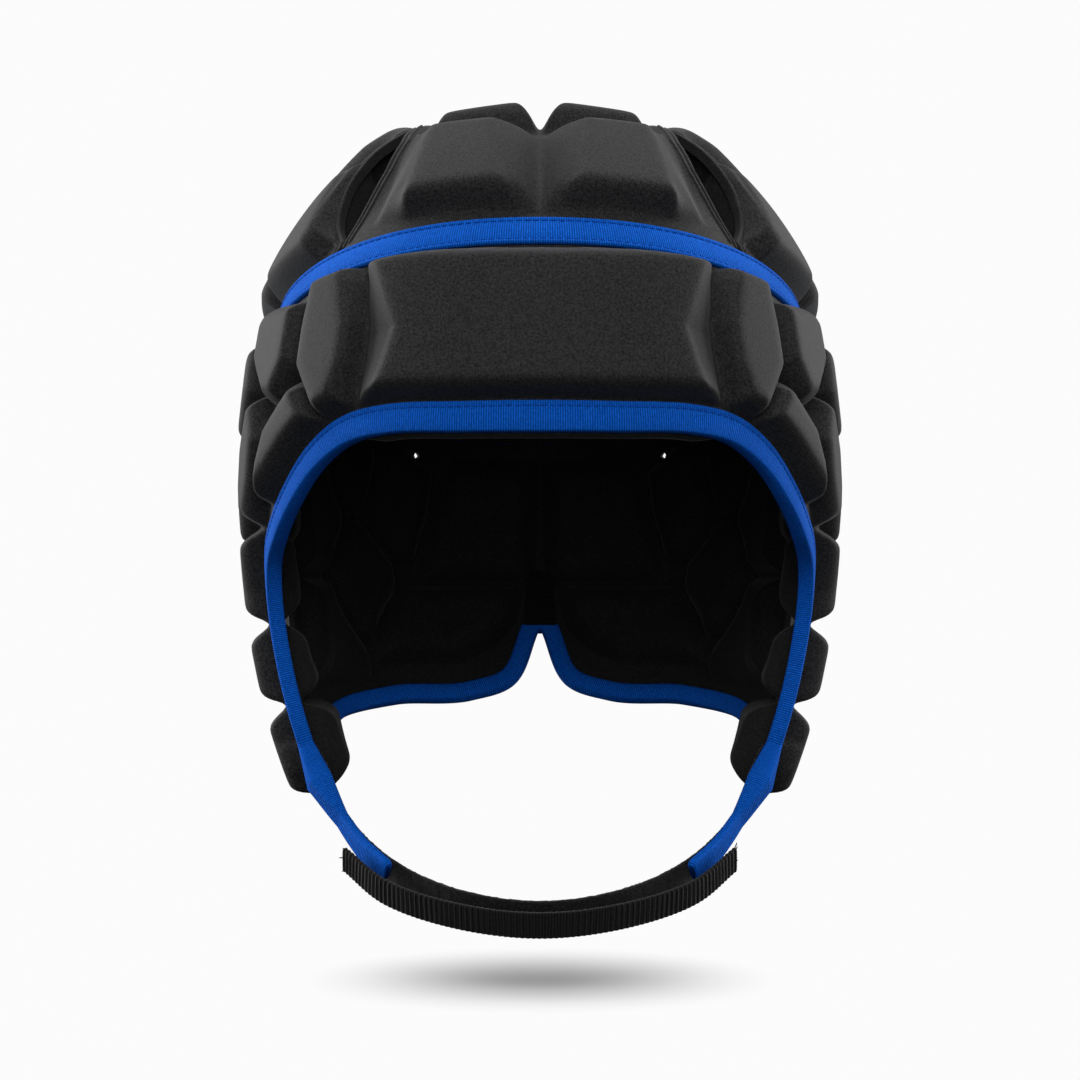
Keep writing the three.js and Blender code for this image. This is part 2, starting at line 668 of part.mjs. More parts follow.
for (const { hand, side } of SIDES) {
  add(`side_wall_${hand}`, sideWallGeometry(side), BLACK_FABRIC);
  const [along, down] = [steps(0, 100, FACETS.sideAlong), steps(0, 100, FACETS.sideDown)];
  const panel = panelGeometry(along, down, side, sidePoint);
  add(`crown_side_${hand}`, panel, BLACK_FABRIC);
  for (const pad of WALL_PADS) {
    add(`${pad.name}_${hand}`, padGeometry(pad, side, wallPlace), BLACK_FOAM);
  }
  for (const pad of SIDE_PADS) {
    add(`${pad.name}_${hand}`, padGeometry(pad, side, sidePlace), BLACK_FOAM);
  }
  for (const pad of STRIP_PADS) {
    const widest = pad.level.at(-1);
    const place = (across, over, u) => crownPoint(over, across * (1 + (pad.lean * (1 - u)) / widest));
    add(`${pad.name}_${hand}`, padGeometry(pad, side, place), BLACK_FOAM);
  }
}

export default headgear;
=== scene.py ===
"""Looks of a soft padded rugby headgear: foam panels in black stretch fabric, blue tape, chin strap."""

import math
from functools import partial

import bpy
import numpy as np
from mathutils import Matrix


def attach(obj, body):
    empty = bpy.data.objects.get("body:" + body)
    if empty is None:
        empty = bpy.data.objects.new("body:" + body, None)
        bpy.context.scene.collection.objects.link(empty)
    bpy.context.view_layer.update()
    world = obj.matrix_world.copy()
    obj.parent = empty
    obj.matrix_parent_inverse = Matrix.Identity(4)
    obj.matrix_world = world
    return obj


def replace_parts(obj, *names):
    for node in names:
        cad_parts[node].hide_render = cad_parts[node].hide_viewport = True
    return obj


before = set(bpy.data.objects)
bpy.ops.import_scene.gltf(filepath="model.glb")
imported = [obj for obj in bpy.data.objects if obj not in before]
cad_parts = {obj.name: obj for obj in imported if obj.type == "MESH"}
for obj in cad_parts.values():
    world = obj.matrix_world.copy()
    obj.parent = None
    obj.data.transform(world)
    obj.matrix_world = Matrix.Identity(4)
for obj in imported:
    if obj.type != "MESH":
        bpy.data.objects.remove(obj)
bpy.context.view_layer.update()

# Shapes are worked out in millimetres in the part's frame and become metres when a mesh is made.
MM = 0.001
HANDS = (("left", 1), ("right", -1))
MIRROR = np.array([-1, 1, 1])

# The hollow for the head: the part's plan and depths, under a crown that is lower and rounder.
HALF_WIDTH = 85
HALF_LENGTH = 100
PLAN_POWER = 2.2
WIDEST_DROP = 112
CROWN_HEIGHT = 107
CROWN_POWER = 2.4
JAW_DEPTH = 150
NAPE_DEPTH = 112
LOWER_POWER = 2.2
CENTRE = np.array([0, 0, -WIDEST_DROP])

# For the working: a step to find slopes, passes of a search, next to nothing, and past any pad's side.
SLOPE_STEP = 0.02
PASSES = 16
TINY = 1e-6
FAR = 45.0

# The blue tape round the crown lies in a plane that falls towards the nape.
BAND_DROP = 68.5
BAND_FALL = 0.3
BAND_WIDTH = 9
BAND_SEAM = 0.05
TAPE = 1.1
TAPE_BASE = 3.2

# Outer skin in the valleys, how far the pads rise from it outside and bulge inside, and the
# widths of their sides: round the shell's pads and along its edges.
VALLEY = 2.5
PAD_RISE = 7.9
PAD_CROWNING = 0.5
PAD_FLATNESS = 0.8
PAD_GROW = 1.9
PAD_INSET = 2.3
SHOULDER = 0.5
SHOULDER_REACH = 4.2
FOOT = 0.05
INNER_VALLEY = 0.7
INNER_BULGE = 8
INNER_SIDE = 11
FLAP_BULGE = 3.0
BAND_SIDE = 3.4
RIM_SIDE = 3.4
HOLE_SIDE = 4.0
SEAM_SIDE = 3.6

# Blends of the pads' sides at edges and inside, the climb over which a top crowns, the power of the inner
# pillows, the share of raised fabric that shows inside, and the most swell taken off a top.
EDGE_BLEND = 0.3
INNER_BLEND = 0.2
CROWNING_SPAN = (0.8, 2)
PILLOW_POWER = 3
PROUD_INSIDE = 0.9
SWELL_MOST = 2.5

# Bare fabric between the pads' sides and the edges of their panels.
SEAM_BARE = 0.3
STRIP_BARE = 0.6
RIM_BARE = 0.5
EAR_BARE = 3.2
VENT_BARE = 0.8

# Lower edge of the shell: degrees around, drop below the crown, degrees where its rib meets the band.
RIM = np.array([
    (0, 99.4, 0), (13, 99.4, 12), (25, 99.5, 22), (34, 102, 31), (42.5, 109, 39), (51, 119, 46),
    (60, 129.5, 52), (69, 139.5, 60), (74, 153, 69), (74.5, 174, 78), (73.2, 195, 85), (76.5, 209, 91),
    (86, 214, 97), (99, 210, 106), (119.6, 191, 120), (144.2, 185.5, 144), (163.2, 184.5, 163),
    (173.4, 179.5, 173), (178.6, 163, 180),
])
RIM_END = len(RIM) - 1
RIM_FLAP_FRONT = 10
RIM_FLAP_REAR = 14
BROW_LEAF = 7.5
CHEEK_LEAF = 6.2
NAPE_LEAF = 6.5
INNER_LEAF = 0.68
FLAP_HEM = 1.0
LEAF_TAPER = 0.5

# Ear flap: the drops over which its inside grows thicker, and degrees around where it ends.
FLAP_SPAN = (168, 190)
FLAP_END = 115

# Seam up the back: the rim's row where the ribs start to bend to it, the drops between which it opens
# over the elastic at the nape, and half its gap below them.
BACK_BEND = 15
BACK_OPEN = (147, 165)
BACK_HALF = 2.1

EAR_HOLE = {"around": 99.5, "drop": 154, "half_width": 12, "half_height": 16}
VENT_HOLE = {"around": 154.5, "drop": 102.6, "radius": 1.1}

# Vent slits beside the crown's centre strip, in degrees over the top from the brow: their ends, and the
# spans in which the flat fabric beside them and its stand out of the valleys begin, are full, wane and end.
SLIT_FOOT = 52
SLIT_TOP = 76
SLIT_FOOT_SHARE = 0.04
SLIT_WIDTH = 12
SLIT_MARGIN = 2.5
SLIT_MARGIN_SPAN = (42, 50, 68, 76)
SLIT_STAND = 7.0
SLIT_STAND_SPAN = (52, 72, 80, 96)

# The stand's reach: shares of the strip's half-width, and mm into the crown's sides.
STRIP_STAND_SPAN = (0.72, 0.95)
SIDE_STAND_SPAN = (3, 12)
PIPING = {"lines": (0.45, 2.2), "radius": 0.5, "rise": 0.1, "steps": 60, "below": 2, "above": 1}

# Crown sides: degrees trimmed off their ends, extra lift of their pads, and the flatness of the tops.
SIDE_TRIM = 2.5
SIDE_LIFT = 0.4
SIDE_FLATNESS = 0.45

# Edge of the crown's centre strip: degrees over the top from the brow, and half its width.
STRIP_EDGE = np.array([
    (42, 65), (47, 61), (51, 57), (57, 50), (62, 44), (68, 38.8), (78, 35.2), (90, 33.5), (115, 33.5),
    (140, 38), (175, 46), (190, 49.4),
])

# Degrees over the top that lie below the band, at the front and at the rear.
OVER_FRONT = 20
OVER_REAR = 185

# Pads: name, levels, and where the pad's foot starts and ends at each level.
WALL_PADS = [
    ("temple_pad", [52.5, 57.5, 70, 81.5, 99],
     [36.7, 34.3, 31.9, 31.9, 34.6], [38.5, 45.6, 45.8, 45.8, 38]),
    ("upper_pad_1", [62.3, 67.5, 80, 91], [47.4, 47.2, 47.2, 52], [63.5, 67, 66.3, 57]),
    ("upper_pad_2", [72.3, 78, 88, 102.5], [69.5, 68.7, 68.4, 77.6], [87, 90, 89.5, 83]),
    ("upper_pad_3", [82.5, 88, 99, 113], [92.5, 91.8, 91.5, 100.6], [107.5, 111.3, 110.3, 104.5]),
    ("upper_pad_4", [96, 104, 113, 123], [122.4, 125.2, 128.8, 134.2], [141.3, 142.2, 140.8, 138]),
    ("upper_pad_5", [99.5, 109, 123, 138], [145, 144, 141, 148], [150, 157, 155.8, 152.3]),
    ("middle_pad_1", [86, 97, 107, 119.5], [43.8, 38.7, 48.6, 59.4], [46.7, 56.2, 59.8, 62]),
    ("middle_pad_2", [89, 101.5, 115, 126.5], [62.5, 60, 63.3, 69.5], [67, 76, 79.2, 77]),
    ("middle_pad_3", [97, 112, 125, 134.5], [86, 80.4, 81.2, 85], [87.8, 98.5, 103, 99]),
    ("middle_pad_4", [88.5, 101, 125.5, 142], [113.5, 112.2, 105.2, 110.5], [120.5, 122.6, 131.4, 124.8]),
    ("cheek_pad", [129.5, 138, 148, 156.8], [73, 76.2, 79.8, 80], [80, 87, 89.3, 88]),
    ("jaw_pad", [159.6, 167, 176, 182], [80, 79.8, 79.3, 79.2], [88, 90.3, 98, 102]),
    ("flap_pad", [184.8, 191, 202, 210], [79, 78.6, 78.4, 80.5], [105.5, 104.5, 98, 92.5]),
    ("rear_side_pad_1", [126, 140, 150, 165], [134.6, 128, 127, 134.8], [138, 146.6, 147, 139]),
    ("rear_side_pad_2", [146, 157, 166.5, 177.3],
     [112.5, 111.2, 108.8, 103.8], [124.2, 128.3, 134.5, 136.2]),
    ("rear_upper_pad", [105.8, 112, 140, 146], [162, 160, 154.8, 154.5], [178.6, 178.4, 178, 177]),
    ("rear_lower_pad", [149, 161, 168, 173], [149.8, 143, 140.8, 139.8], [175.4, 173.6, 169, 162]),
]
BROW_PAD = (
    "brow_pad", [49.5, 57, 62, 72, 84, 94],
    [-34, -32.7, -31.9, -31, -31, -31], [34, 32.7, 31.9, 31, 31, 31])
SIDE_PADS = [
    ("crown_side_pad_1", [11, 23, 74, 91], [7, 6, 7, 11], [17, 19.5, 31, 31]),
    ("crown_side_pad_2", [1, 12, 76, 92], [20.5, 23, 34.5, 35.5], [61, 63, 66, 64]),
    ("crown_side_pad_3", [2, 13, 74, 90], [65, 66, 68.5, 68], [93, 93, 92, 88]),
]
STRIP_PADS = [
    ("crown_pad_1", [0.8, 2.6, 28, 34], [43.8, 43.9, 47.8, 50], [46, 66.5, 68.5, 69.5]),
    ("crown_pad_2", [2.4, 5, 25, 30], [70, 69, 70.8, 72], [98, 98.4, 98.4, 97]),
    ("crown_pad_3", [2, 8, 28, 35], [100.6, 100, 100, 101], [134, 134.4, 134.4, 133]),
    ("crown_pad_4", [2, 8, 31, 38.5], [136.6, 136, 136, 137], [167.4, 167.4, 167, 166]),
]

# How far the outer edge of a strip pad leans out from its rear end to its front end.
STRIP_LEAN = {"crown_pad_1": 12.4, "crown_pad_2": 0, "crown_pad_3": -4, "crown_pad_4": -5}

# Flat tops that aren't an even step in from the pad's foot.
TOPS = {
    "brow_pad": ([52.5, 72.5, 82, 90], [-30.8, -24.3, -25.6, -27.2], [30.8, 24.3, 25.6, 27.2]),
    "temple_pad": (
        [54, 58.5, 70.5, 81.5, 96.5], [36.9, 34.8, 32.2, 32.5, 35.6], [38.5, 44.2, 44.6, 44.4, 37.5]),
    "crown_pad_1": ([7, 11, 26.6, 29.4], [45.6, 45.8, 47.8, 63], [46.5, 64.4, 67, 67.4]),
}

# Blue tongues and chin strap layers: places on the wearer's left and the way each face looks. A tongue
# also has its width and the gap between its two leaves.
TONGUE = [
    ((68.6, -31, -207), (0.95, -0.3, -0.1), 6, 5.4),
    ((61, -38, -218.5), (0.85, -0.5, -0.2), 5.8, 0.5),
    ((54.5, -45, -226.5), (0.72, -0.62, -0.3), 6.8, 0.5),
    ((47.5, -52, -233), (0.6, -0.72, -0.35), 9, 0.5),
]
STRAP = [
    ((74, -9, -193), (1, -0.15, -0.25)),
    ((67, -16, -206), (1, -0.25, -0.25)),
    ((63, -25, -216), (0.9, -0.4, -0.3)),
    ((56, -36, -225), (0.75, -0.6, -0.35)),
    ((42, -51.5, -234.5), (0.55, -0.75, -0.4)),
    ((22, -66.5, -240.8), (0.3, -0.9, -0.45)),
    ((0, -72.5, -243), (0, -0.9, -0.45)),
]
STRAP_FRONT = [
    ((59.5, -46.5, -229.5), (0.75, -0.6, -0.35)),
    ((46.5, -59.5, -238), (0.55, -0.75, -0.4)),
    ((24, -72, -243.8), (0.3, -0.9, -0.45)),
    ((0, -77.5, -245.8), (0, -0.9, -0.45)),
]
STRAP_WIDTH = 8.8
STRAP_THICK = 1.6
STRAP_RIB = 1.7
STRAP_SIDES = 24
STRAP_ROUNDING = 0.35
FRAY = {
    "ends": 15, "tuck": 0.6, "reach": (0.6, 1.7), "across": (0, 0.5), "out": (0.1, 0.4),
    "steps": 6, "radius": 0.2, "sides": 5,
}
TONGUE_TIP = {"steps": 4, "reach": 1.6, "shrink": 0.22}
GUSSET_GRID = (60, 33)
GUSSET = {
    "top_half": 4.5, "foot_half": 5.5, "top_drop": 143, "foot_drop": 162,
    "rib": 1.5, "rib_height": 0.28, "outside": -0.1, "inside": -1.4,
}

# Rolled edge of the lining below the brow: the rim's rows where it ends and where it turns in, how far it
# hangs below the rim, how far it turns in, its rise, and its radius.
LINING = {"end": 3.2, "turn": 2.2, "hang": 1.9, "turn_in": 3.2, "rise": -2.2, "radius": 1.3, "steps": 70}

# Sewing thread: spacing of the stitches, length, width and height of one, and its swell from end to end.
STITCH_PITCH = 2.5
STITCH = (1.8, 0.42, 0.26)
STITCH_ALONG = np.array([-1, -0.7, 0, 0.7, 1])
STITCH_SWELL = np.array([0.3, 0.85, 1, 0.85, 0.3])
STITCH_SIDES = 6

# Camera level with the middle of the object, as in the photograph: mm before the head's middle, and the
# frame's width there.
CAMERA_DISTANCE = 1000
CAMERA_HEIGHT = -132
FRAME_WIDTH = 345.6
FLOOR_HEIGHT = -268


# The head's surface

def plan_size(x, y):
    across = (np.abs(x) / HALF_WIDTH) ** PLAN_POWER
    along = (np.abs(y) / HALF_LENGTH) ** PLAN_POWER
    return (across + along) ** (1 / PLAN_POWER)


def power_and_depth(x, y, z):
    """The hollow's power and depth, above or below its widest level."""
    back = np.where(y > 0, y * y / np.maximum(x * x + y * y, TINY), 0)
    lower = JAW_DEPTH + (NAPE_DEPTH - JAW_DEPTH) * back
    return np.where(z > 0, CROWN_POWER, LOWER_POWER), np.where(z > 0, CROWN_HEIGHT, lower)


def fullness(p):
    """1 on the hollow's surface, for places measured from its centre."""
    x, y, z = p[..., 0], p[..., 1], p[..., 2]
    power, depth = power_and_depth(x, y, z)
    return (plan_size(x, y) ** power + (np.abs(z) / depth) ** power) ** (1 / power)


def unit(v):
    return v / np.maximum(np.linalg.norm(v, axis=-1, keepdims=True), TINY)


def smooth_step(value, low, high):
    t = np.clip((np.asarray(value, float) - low) / (high - low), 0, 1)
    return t * t * (3 - 2 * t)


def between(value, start, full, wane, end):
    """0 outside a span, rising to 1 in its middle."""
    return smooth_step(value, start, full) * (1 - smooth_step(value, wane, end))


def run_length(points):
    """Length run along a line up to each of its points."""
    return np.concatenate([[0], np.cumsum(np.linalg.norm(np.diff(points, axis=0), axis=1))])


def full_turn(count):
    return np.linspace(0, 2 * math.pi, count, endpoint=False)


def head_normal(p):
    steps = SLOPE_STEP * np.eye(3)
    return unit(np.stack([fullness(p + e) - fullness(p - e) for e in steps], axis=-1))


def on_head(p, rise=0.0):
    """Points moved straight out from the centre onto the hollow, then raised along the normal."""
    q = p - CENTRE
    q = q / fullness(q)[..., None]
    return q + head_normal(q) * np.asarray(rise)[..., None] + CENTRE


def wall_point(around, drop):
    angle = np.radians(around)
    x, y = np.sin(angle), -np.cos(angle)
    height = WIDEST_DROP - np.asarray(drop, float)
    power, depth = power_and_depth(x, y, height)
    size = (1 - (np.abs(height) / depth) ** power) ** (1 / power) / plan_size(x, y)
    return np.stack(np.broadcast_arrays(x * size, y * size, height - WIDEST_DROP), axis=-1)


def crown_point(over, across):
    """The hollow's points at some degrees over the top from the brow and some mm across."""
    over, across = np.broadcast_arrays(np.radians(over), np.asarray(across, float))
    lean = across / WIDEST_DROP
    for _ in range(PASSES):
        point = on_head(np.stack([lean, -np.cos(over), np.sin(over)], axis=-1) + CENTRE)
        reached = np.where(np.abs(point[..., 0]) < TINY, 1, point[..., 0])
        lean = lean * across / reached
    return point


def band_drop(around):
    drop = np.full(np.shape(around), float(BAND_DROP))
    for _ in range(PASSES):
        drop = BAND_DROP + BAND_FALL * wall_point(around, drop)[..., 1]
    return drop


def band_point(around, below=0.0):
    return wall_point(around, band_drop(around) + below)


def band_distance(points):
    """Distance from the band's middle, measured on the surface: positive above it."""
    tilt = unit(np.array([0, BAND_FALL, 1.0]))
    height = (points[..., 2] + BAND_DROP + BAND_FALL * points[..., 1]) * tilt[2]
    slope = head_normal(points - CENTRE) @ tilt
    return height / np.sqrt(np.maximum(1 - slope * slope, TINY))


def over_at_band(line, outside):
    """Degrees over the top at which a line down from the crown reaches the band's seam."""
    inner, outer = 90.0, float(outside)
    for _ in range(PASSES):
        middle = (inner + outer) / 2
        point = line(middle)
        if point[2] + BAND_DROP + BAND_FALL * point[1] > BAND_SEAM:
            inner = middle
        else:
            outer = middle
    return inner


def strip_half(over):
    return np.interp(over, STRIP_EDGE[:, 0], STRIP_EDGE[:, 1])


def slit_width(over):
    along = np.clip((np.asarray(over) - SLIT_FOOT) / (SLIT_TOP - SLIT_FOOT), 0, 1)
    return SLIT_WIDTH * np.sin(math.pi * (SLIT_FOOT_SHARE + (1 - SLIT_FOOT_SHARE) * along))


def side_edge_point(over):
    return crown_point(over, strip_half(over) + slit_width(over))


def side_end(outside, trim):
    over = over_at_band(side_edge_point, outside) + trim
    x, y, _ = side_edge_point(over)
    return over, math.degrees(math.atan2(x, -y))


SIDE_FRONT = side_end(OVER_FRONT, SIDE_TRIM)
SIDE_REAR = side_end(OVER_REAR, -SIDE_TRIM)


def side_over(along):
    return SIDE_FRONT[0] + (SIDE_REAR[0] - SIDE_FRONT[0]) * np.asarray(along) / 100


def side_point(down, along):
    """The crown side's points: percent from the strip to the band, percent from front to rear."""
    around = SIDE_FRONT[1] + (SIDE_REAR[1] - SIDE_FRONT[1]) * np.asarray(along) / 100
    top = side_edge_point(side_over(along))
    low = band_point(around, -BAND_SEAM)
    return on_head(top + (low - top) * np.asarray(down)[..., None] / 100)


def curve(points, rows):
    """A centripetal curve through points, read at row numbers, with fractions between them."""
    points = np.asarray(points, float)
    ends = np.vstack([2 * points[0] - points[1], points, 2 * points[-1] - points[-2]])
    low = np.clip(np.floor(rows).astype(int), 0, len(points) - 2)
    share = (np.asarray(rows) - low)[:, None]
    a, b, c, d = (ends[low + i] for i in range(4))
    gaps = [np.sqrt(np.linalg.norm(q - p, axis=1, keepdims=True)) for p, q in ((a, b), (b, c), (c, d))]
    start = ((b - a) / gaps[0] - (c - a) / (gaps[0] + gaps[1])) * gaps[1] + c - b
    end = ((d - c) / gaps[2] - (d - b) / (gaps[1] + gaps[2])) * gaps[1] + c - b
    bend = 3 * (c - b) - 2 * start - end
    twist = 2 * (b - c) + start + end
    return b + share * (start + share * (bend + share * twist))


RIM_POINTS = wall_point(RIM[:, 0], RIM[:, 1])


def back_half(drop):
    """Half the gap of the seam up the back, which opens over the elastic at the nape."""
    return BACK_HALF * smooth_step(drop, *BACK_OPEN)


def rib_point(row, down):
    """Points of the side wall: along the rim by its table's rows, and down from the band."""
    top = band_point(np.interp(row, np.arange(RIM_END + 1), RIM[:, 2]), BAND_SEAM)
    foot = curve(RIM_POINTS, row)
    points = on_head(top[:, None] + (foot - top)[:, None] * down[None, :, None])
    end = points[-1]
    drop = -points[..., 2]
    spare = np.interp(drop, -end[:, 2], end[:, 0]) - back_half(drop)
    points[..., 0] -= spare * smooth_step(row, BACK_BEND, RIM_END)[:, None]
    return on_head(points)


# Meshes

def add_object(name, data):
    thing = bpy.data.objects.new(name, data)
    bpy.context.scene.collection.objects.link(thing)
    return thing


def make_piece(name, points, faces, materials, uv=None):
    """A mesh piece on the one body, from points in millimetres and blocks of faces."""
    mesh = bpy.data.meshes.new(name)
    corners = [face for block in faces for face in block.tolist()]
    mesh.from_pydata(np.reshape(points, (-1, 3)) * MM, [], corners)
    mesh.shade_smooth()
    for material in materials:
        mesh.materials.append(material)
    if uv is not None:
        layer = mesh.uv_layers.new(name="along_across")
        layer.data.foreach_set("uv", (uv * MM).ravel())
    piece = add_object(name, mesh)
    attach(piece, "root")
    return piece


def mark_sharp(mesh, pairs):
    """Keeps the shading of faces apart along edges given by their ends."""
    ends = np.empty(2 * len(mesh.edges), np.int32)
    mesh.edges.foreach_get("vertices", ends)
    scale = np.array([len(mesh.vertices), 1])
    keys = np.sort(ends.reshape(-1, 2), axis=1) @ scale
    layer = mesh.attributes.new("sharp_edge", "BOOLEAN", "EDGE")
    layer.data.foreach_set("value", np.isin(keys, np.sort(pairs, axis=1) @ scale))


def grid_quads(rows, columns):
    r, c = np.meshgrid(np.arange(rows - 1), np.arange(columns - 1), indexing="ij")
    a = r * columns + c
    return np.stack([a, a + columns, a + columns + 1, a + 1], axis=-1).reshape(-1, 4)


def grid_normals(grid):
    return unit(np.cross(np.gradient(grid, axis=1), np.gradient(grid, axis=0)))


def border_edges(quads):
    """Directed edges that only one quad uses."""
    edges = np.concatenate([quads[:, [i, (i + 1) % 4]] for i in range(4)])
    keys = np.sort(edges, axis=1) @ np.array([quads.max() + 1, 1])
    _, first, counts = np.unique(keys, return_index=True, return_counts=True)
    return edges[first[counts == 1]]


def side_walls(rim, count):
    """Quads from the border of a grid to that of a second one, whose points come count later."""
    return np.stack([rim[:, 1], rim[:, 0], rim[:, 0] + count, rim[:, 1] + count], axis=1)


def shell_piece(name, outer, inner, quads, materials):
    """A closed padded shell between an outer and an inner grid, with its own material on each."""
    used, packed = np.unique(quads, return_inverse=True)
    quads = packed.reshape(-1, 4)
    count = len(used)
    rim = border_edges(quads)
    walls = side_walls(rim, count)
    faces = np.concatenate([quads, quads[:, ::-1] + count, walls])
    inside = np.repeat([0, 1], [len(quads), len(quads) + len(walls)])
    points = np.concatenate([grid.reshape(-1, 3)[used] for grid in (outer, inner)])
    out_way, in_way = (grid_normals(grid).reshape(-1, 3)[used] for grid in (outer, inner))
    first = points[quads[0]]
    turn = np.sign(np.cross(first[1] - first[0], first[2] - first[1]) @ out_way[quads[0, 0]])
    ways = np.concatenate([out_way * turn, -in_way * turn])
    normals = ways[faces]
    normals[len(quads) * 2:] = 0
    piece = make_piece(name, points, [faces], materials)
    piece.data.polygons.foreach_set("material_index", inside)
    mark_sharp(piece.data, np.concatenate([rim, rim + count]))
    piece.data.normals_split_custom_set(normals.reshape(-1, 3))
    return piece


def sweep(rings, loop=False):
    """Points, face blocks and face-corner places of a closed sweep of rings of equal count."""
    count, size = rings.shape[:2]
    turns = np.arange(count if loop else count - 1)
    a, k = np.meshgrid(turns, np.arange(size), indexing="ij")
    b, n = a + 1, k + 1
    last_a, last_n = b % count, n % size
    quads = np.stack([a * size + k, a * size + last_n, last_a * size + last_n, last_a * size + k], axis=-1)
    middle = rings.mean(1)
    along = run_length(np.vstack([middle, middle[:1]]))
    widest = rings[np.linalg.norm(rings - middle[:, None], axis=2).max(1).argmax()]
    across = run_length(np.vstack([widest, widest[:1]]))
    corners = [(a, k), (a, n), (b, n), (b, k)]
    uv = np.stack([np.stack([along[i], across[j]], axis=-1) for i, j in corners], axis=2).reshape(-1, 2)
    blocks = [quads.reshape(-1, 4)]
    if not loop:
        cap = np.arange(size)
        blocks.append(np.stack([cap[::-1], cap + (count - 1) * size]))
        uv = np.concatenate([uv, np.zeros((2 * size, 2))])
    return rings.reshape(-1, 3), blocks, uv


def sweep_piece(name, bundles, material, loop=False):
    """A piece of one or more sweeps, each given by its rings."""
    points, blocks, uv = zip(*[sweep(rings, loop) for rings in bundles])
    starts = np.cumsum([0] + [len(part) for part in points])
    faces = [block + start for part, start in zip(blocks, starts) for block in part]
    return make_piece(name, np.concatenate(points), faces, [material], uv=np.concatenate(uv))


# A way that no tube runs along, and the share of its radius at a tube's ends.
TUBE_ACROSS = np.array([0.31, 0.84, 0.45])
TUBE_TIP = 0.35


def round_tube(path, radius, sides=8):
    """Rings of a thin round tube along a path, with its ends drawn in."""
    along = unit(np.gradient(path, axis=0))
    side = unit(np.cross(along, TUBE_ACROSS))
    up = np.cross(along, side)
    turn = full_turn(sides)
    size = np.full(len(path), float(radius))
    size[[0, -1]] *= TUBE_TIP
    hoop = np.cos(turn)[None, :, None] * side[:, None] + np.sin(turn)[None, :, None] * up[:, None]
    return path[:, None] + hoop * size[:, None, None]


def read_along(at, run, rows):
    """Rows of numbers read at some lengths along a line."""
    return np.stack([np.interp(at, run, column) for column in rows.T], axis=-1)


def stitches(name, lines, material):
    """Rows of short raised stitches along lines, each given as places and the ways out of the surface."""
    length, width, height = STITCH
    turn = full_turn(STITCH_SIDES)
    swell = STITCH_SWELL[:, None]
    template = np.stack(np.broadcast_arrays(
        STITCH_ALONG[:, None] * length / 2,
        swell * width / 2 * np.cos(turn),
        swell * height * np.sin(turn),
    ), axis=-1)
    quads, caps = sweep(template)[1]
    points = []
    for places, out in lines:
        run = run_length(places)
        at = np.arange(STITCH_PITCH / 2, run[-1], STITCH_PITCH)
        ahead = unit(read_along(at, run, np.gradient(places, axis=0)))
        side = unit(np.cross(read_along(at, run, out), ahead))
        axes = np.stack([ahead, side, np.cross(ahead, side)], axis=1)
        points.append(read_along(at, run, places)[:, None] + template.reshape(-1, 3) @ axes)
    points = np.concatenate(points)
    starts = (np.arange(len(points)) * template.shape[0] * template.shape[1])[:, None, None]
    faces = [(block[None] + starts).reshape(-1, block.shape[1]) for block in (quads, caps)]
    return make_piece(name, points, faces, [material])


# Pads in relief

EDGE_STEPS = 7


def loop_distance(points, loop):
    """Distance from points to a closed line of points."""
    a, b = loop, np.roll(loop, -1, axis=0)
    side = b - a
    length = np.maximum((side * side).sum(1), TINY)
    share = np.clip(((points[:, None] - a) * side).sum(2) / length, 0, 1)
    return np.linalg.norm(points[:, None] - a - share[..., None] * side, axis=2).min(1)


def line_distance(points, line):
    """Distance from points to the nearest point of a dense line, and that point's number."""
    least = np.full(len(points), np.inf)
    which = np.zeros(len(points), int)
    for i, place in enumerate(line):
        gap = np.linalg.norm(points - place, axis=1)
        which = np.where(gap < least, i, which)
        least = np.minimum(least, gap)
    return least, which


def pad_distance(points, levels, alongs, outline, place):
    """Signed distance of points to a pad's outline, negative inside it."""
    level, front, rear = outline
    corners = list(zip(level, front)) + list(zip(level[::-1], rear[::-1]))
    share = np.linspace(0, 1, EDGE_STEPS, endpoint=False)
    loop = np.concatenate([
        place(l0 + (l1 - l0) * share, a0 + (a1 - a0) * share)
        for (l0, a0), (l1, a1) in zip(corners, corners[1:] + corners[:1])
    ])
    middle = loop.mean(0)
    reach = np.linalg.norm(loop - middle, axis=1).max() + FAR
    near = np.linalg.norm(points - middle, axis=1) < reach
    distance = np.full(len(points), FAR)
    distance[near] = np.minimum(loop_distance(points[near], loop), FAR)
    inside = (levels > level[0]) & (levels < level[-1])
    inside &= (alongs > np.interp(levels, level, front)) & (alongs < np.interp(levels, level, rear))
    return np.where(inside, -distance, distance)


def soft_least(a, b, width):
    """The smaller of two fields, rounded where they cross."""
    near = np.maximum(width - np.abs(a - b), 0) / width
    return np.minimum(a, b) - near * near * width / 4


# A point's own weight when a field is evened out, and the shortest edge that counts.
BLUR_KEEP = 3.0
BLUR_EDGE = 0.2


def blur(field, points, rounds):
    """Evens out a field over a grid of points, by the lengths of its edges."""
    edges = [np.linalg.norm(np.diff(points, axis=axis), axis=-1) for axis in (0, 1)]
    shares = [1 / np.maximum(edge, BLUR_EDGE) for edge in edges]
    lows = (np.s_[:-1], np.s_[:, :-1])
    highs = (np.s_[1:], np.s_[:, 1:])
    for _ in range(rounds):
        total = field * BLUR_KEEP
        weight = np.full(field.shape, BLUR_KEEP)
        for low, high, share in zip(lows, highs, shares):
            total[low] += share * field[high]
            weight[low] += share
            total[high] += share * field[low]
            weight[high] += share
        field = total / weight
    return field


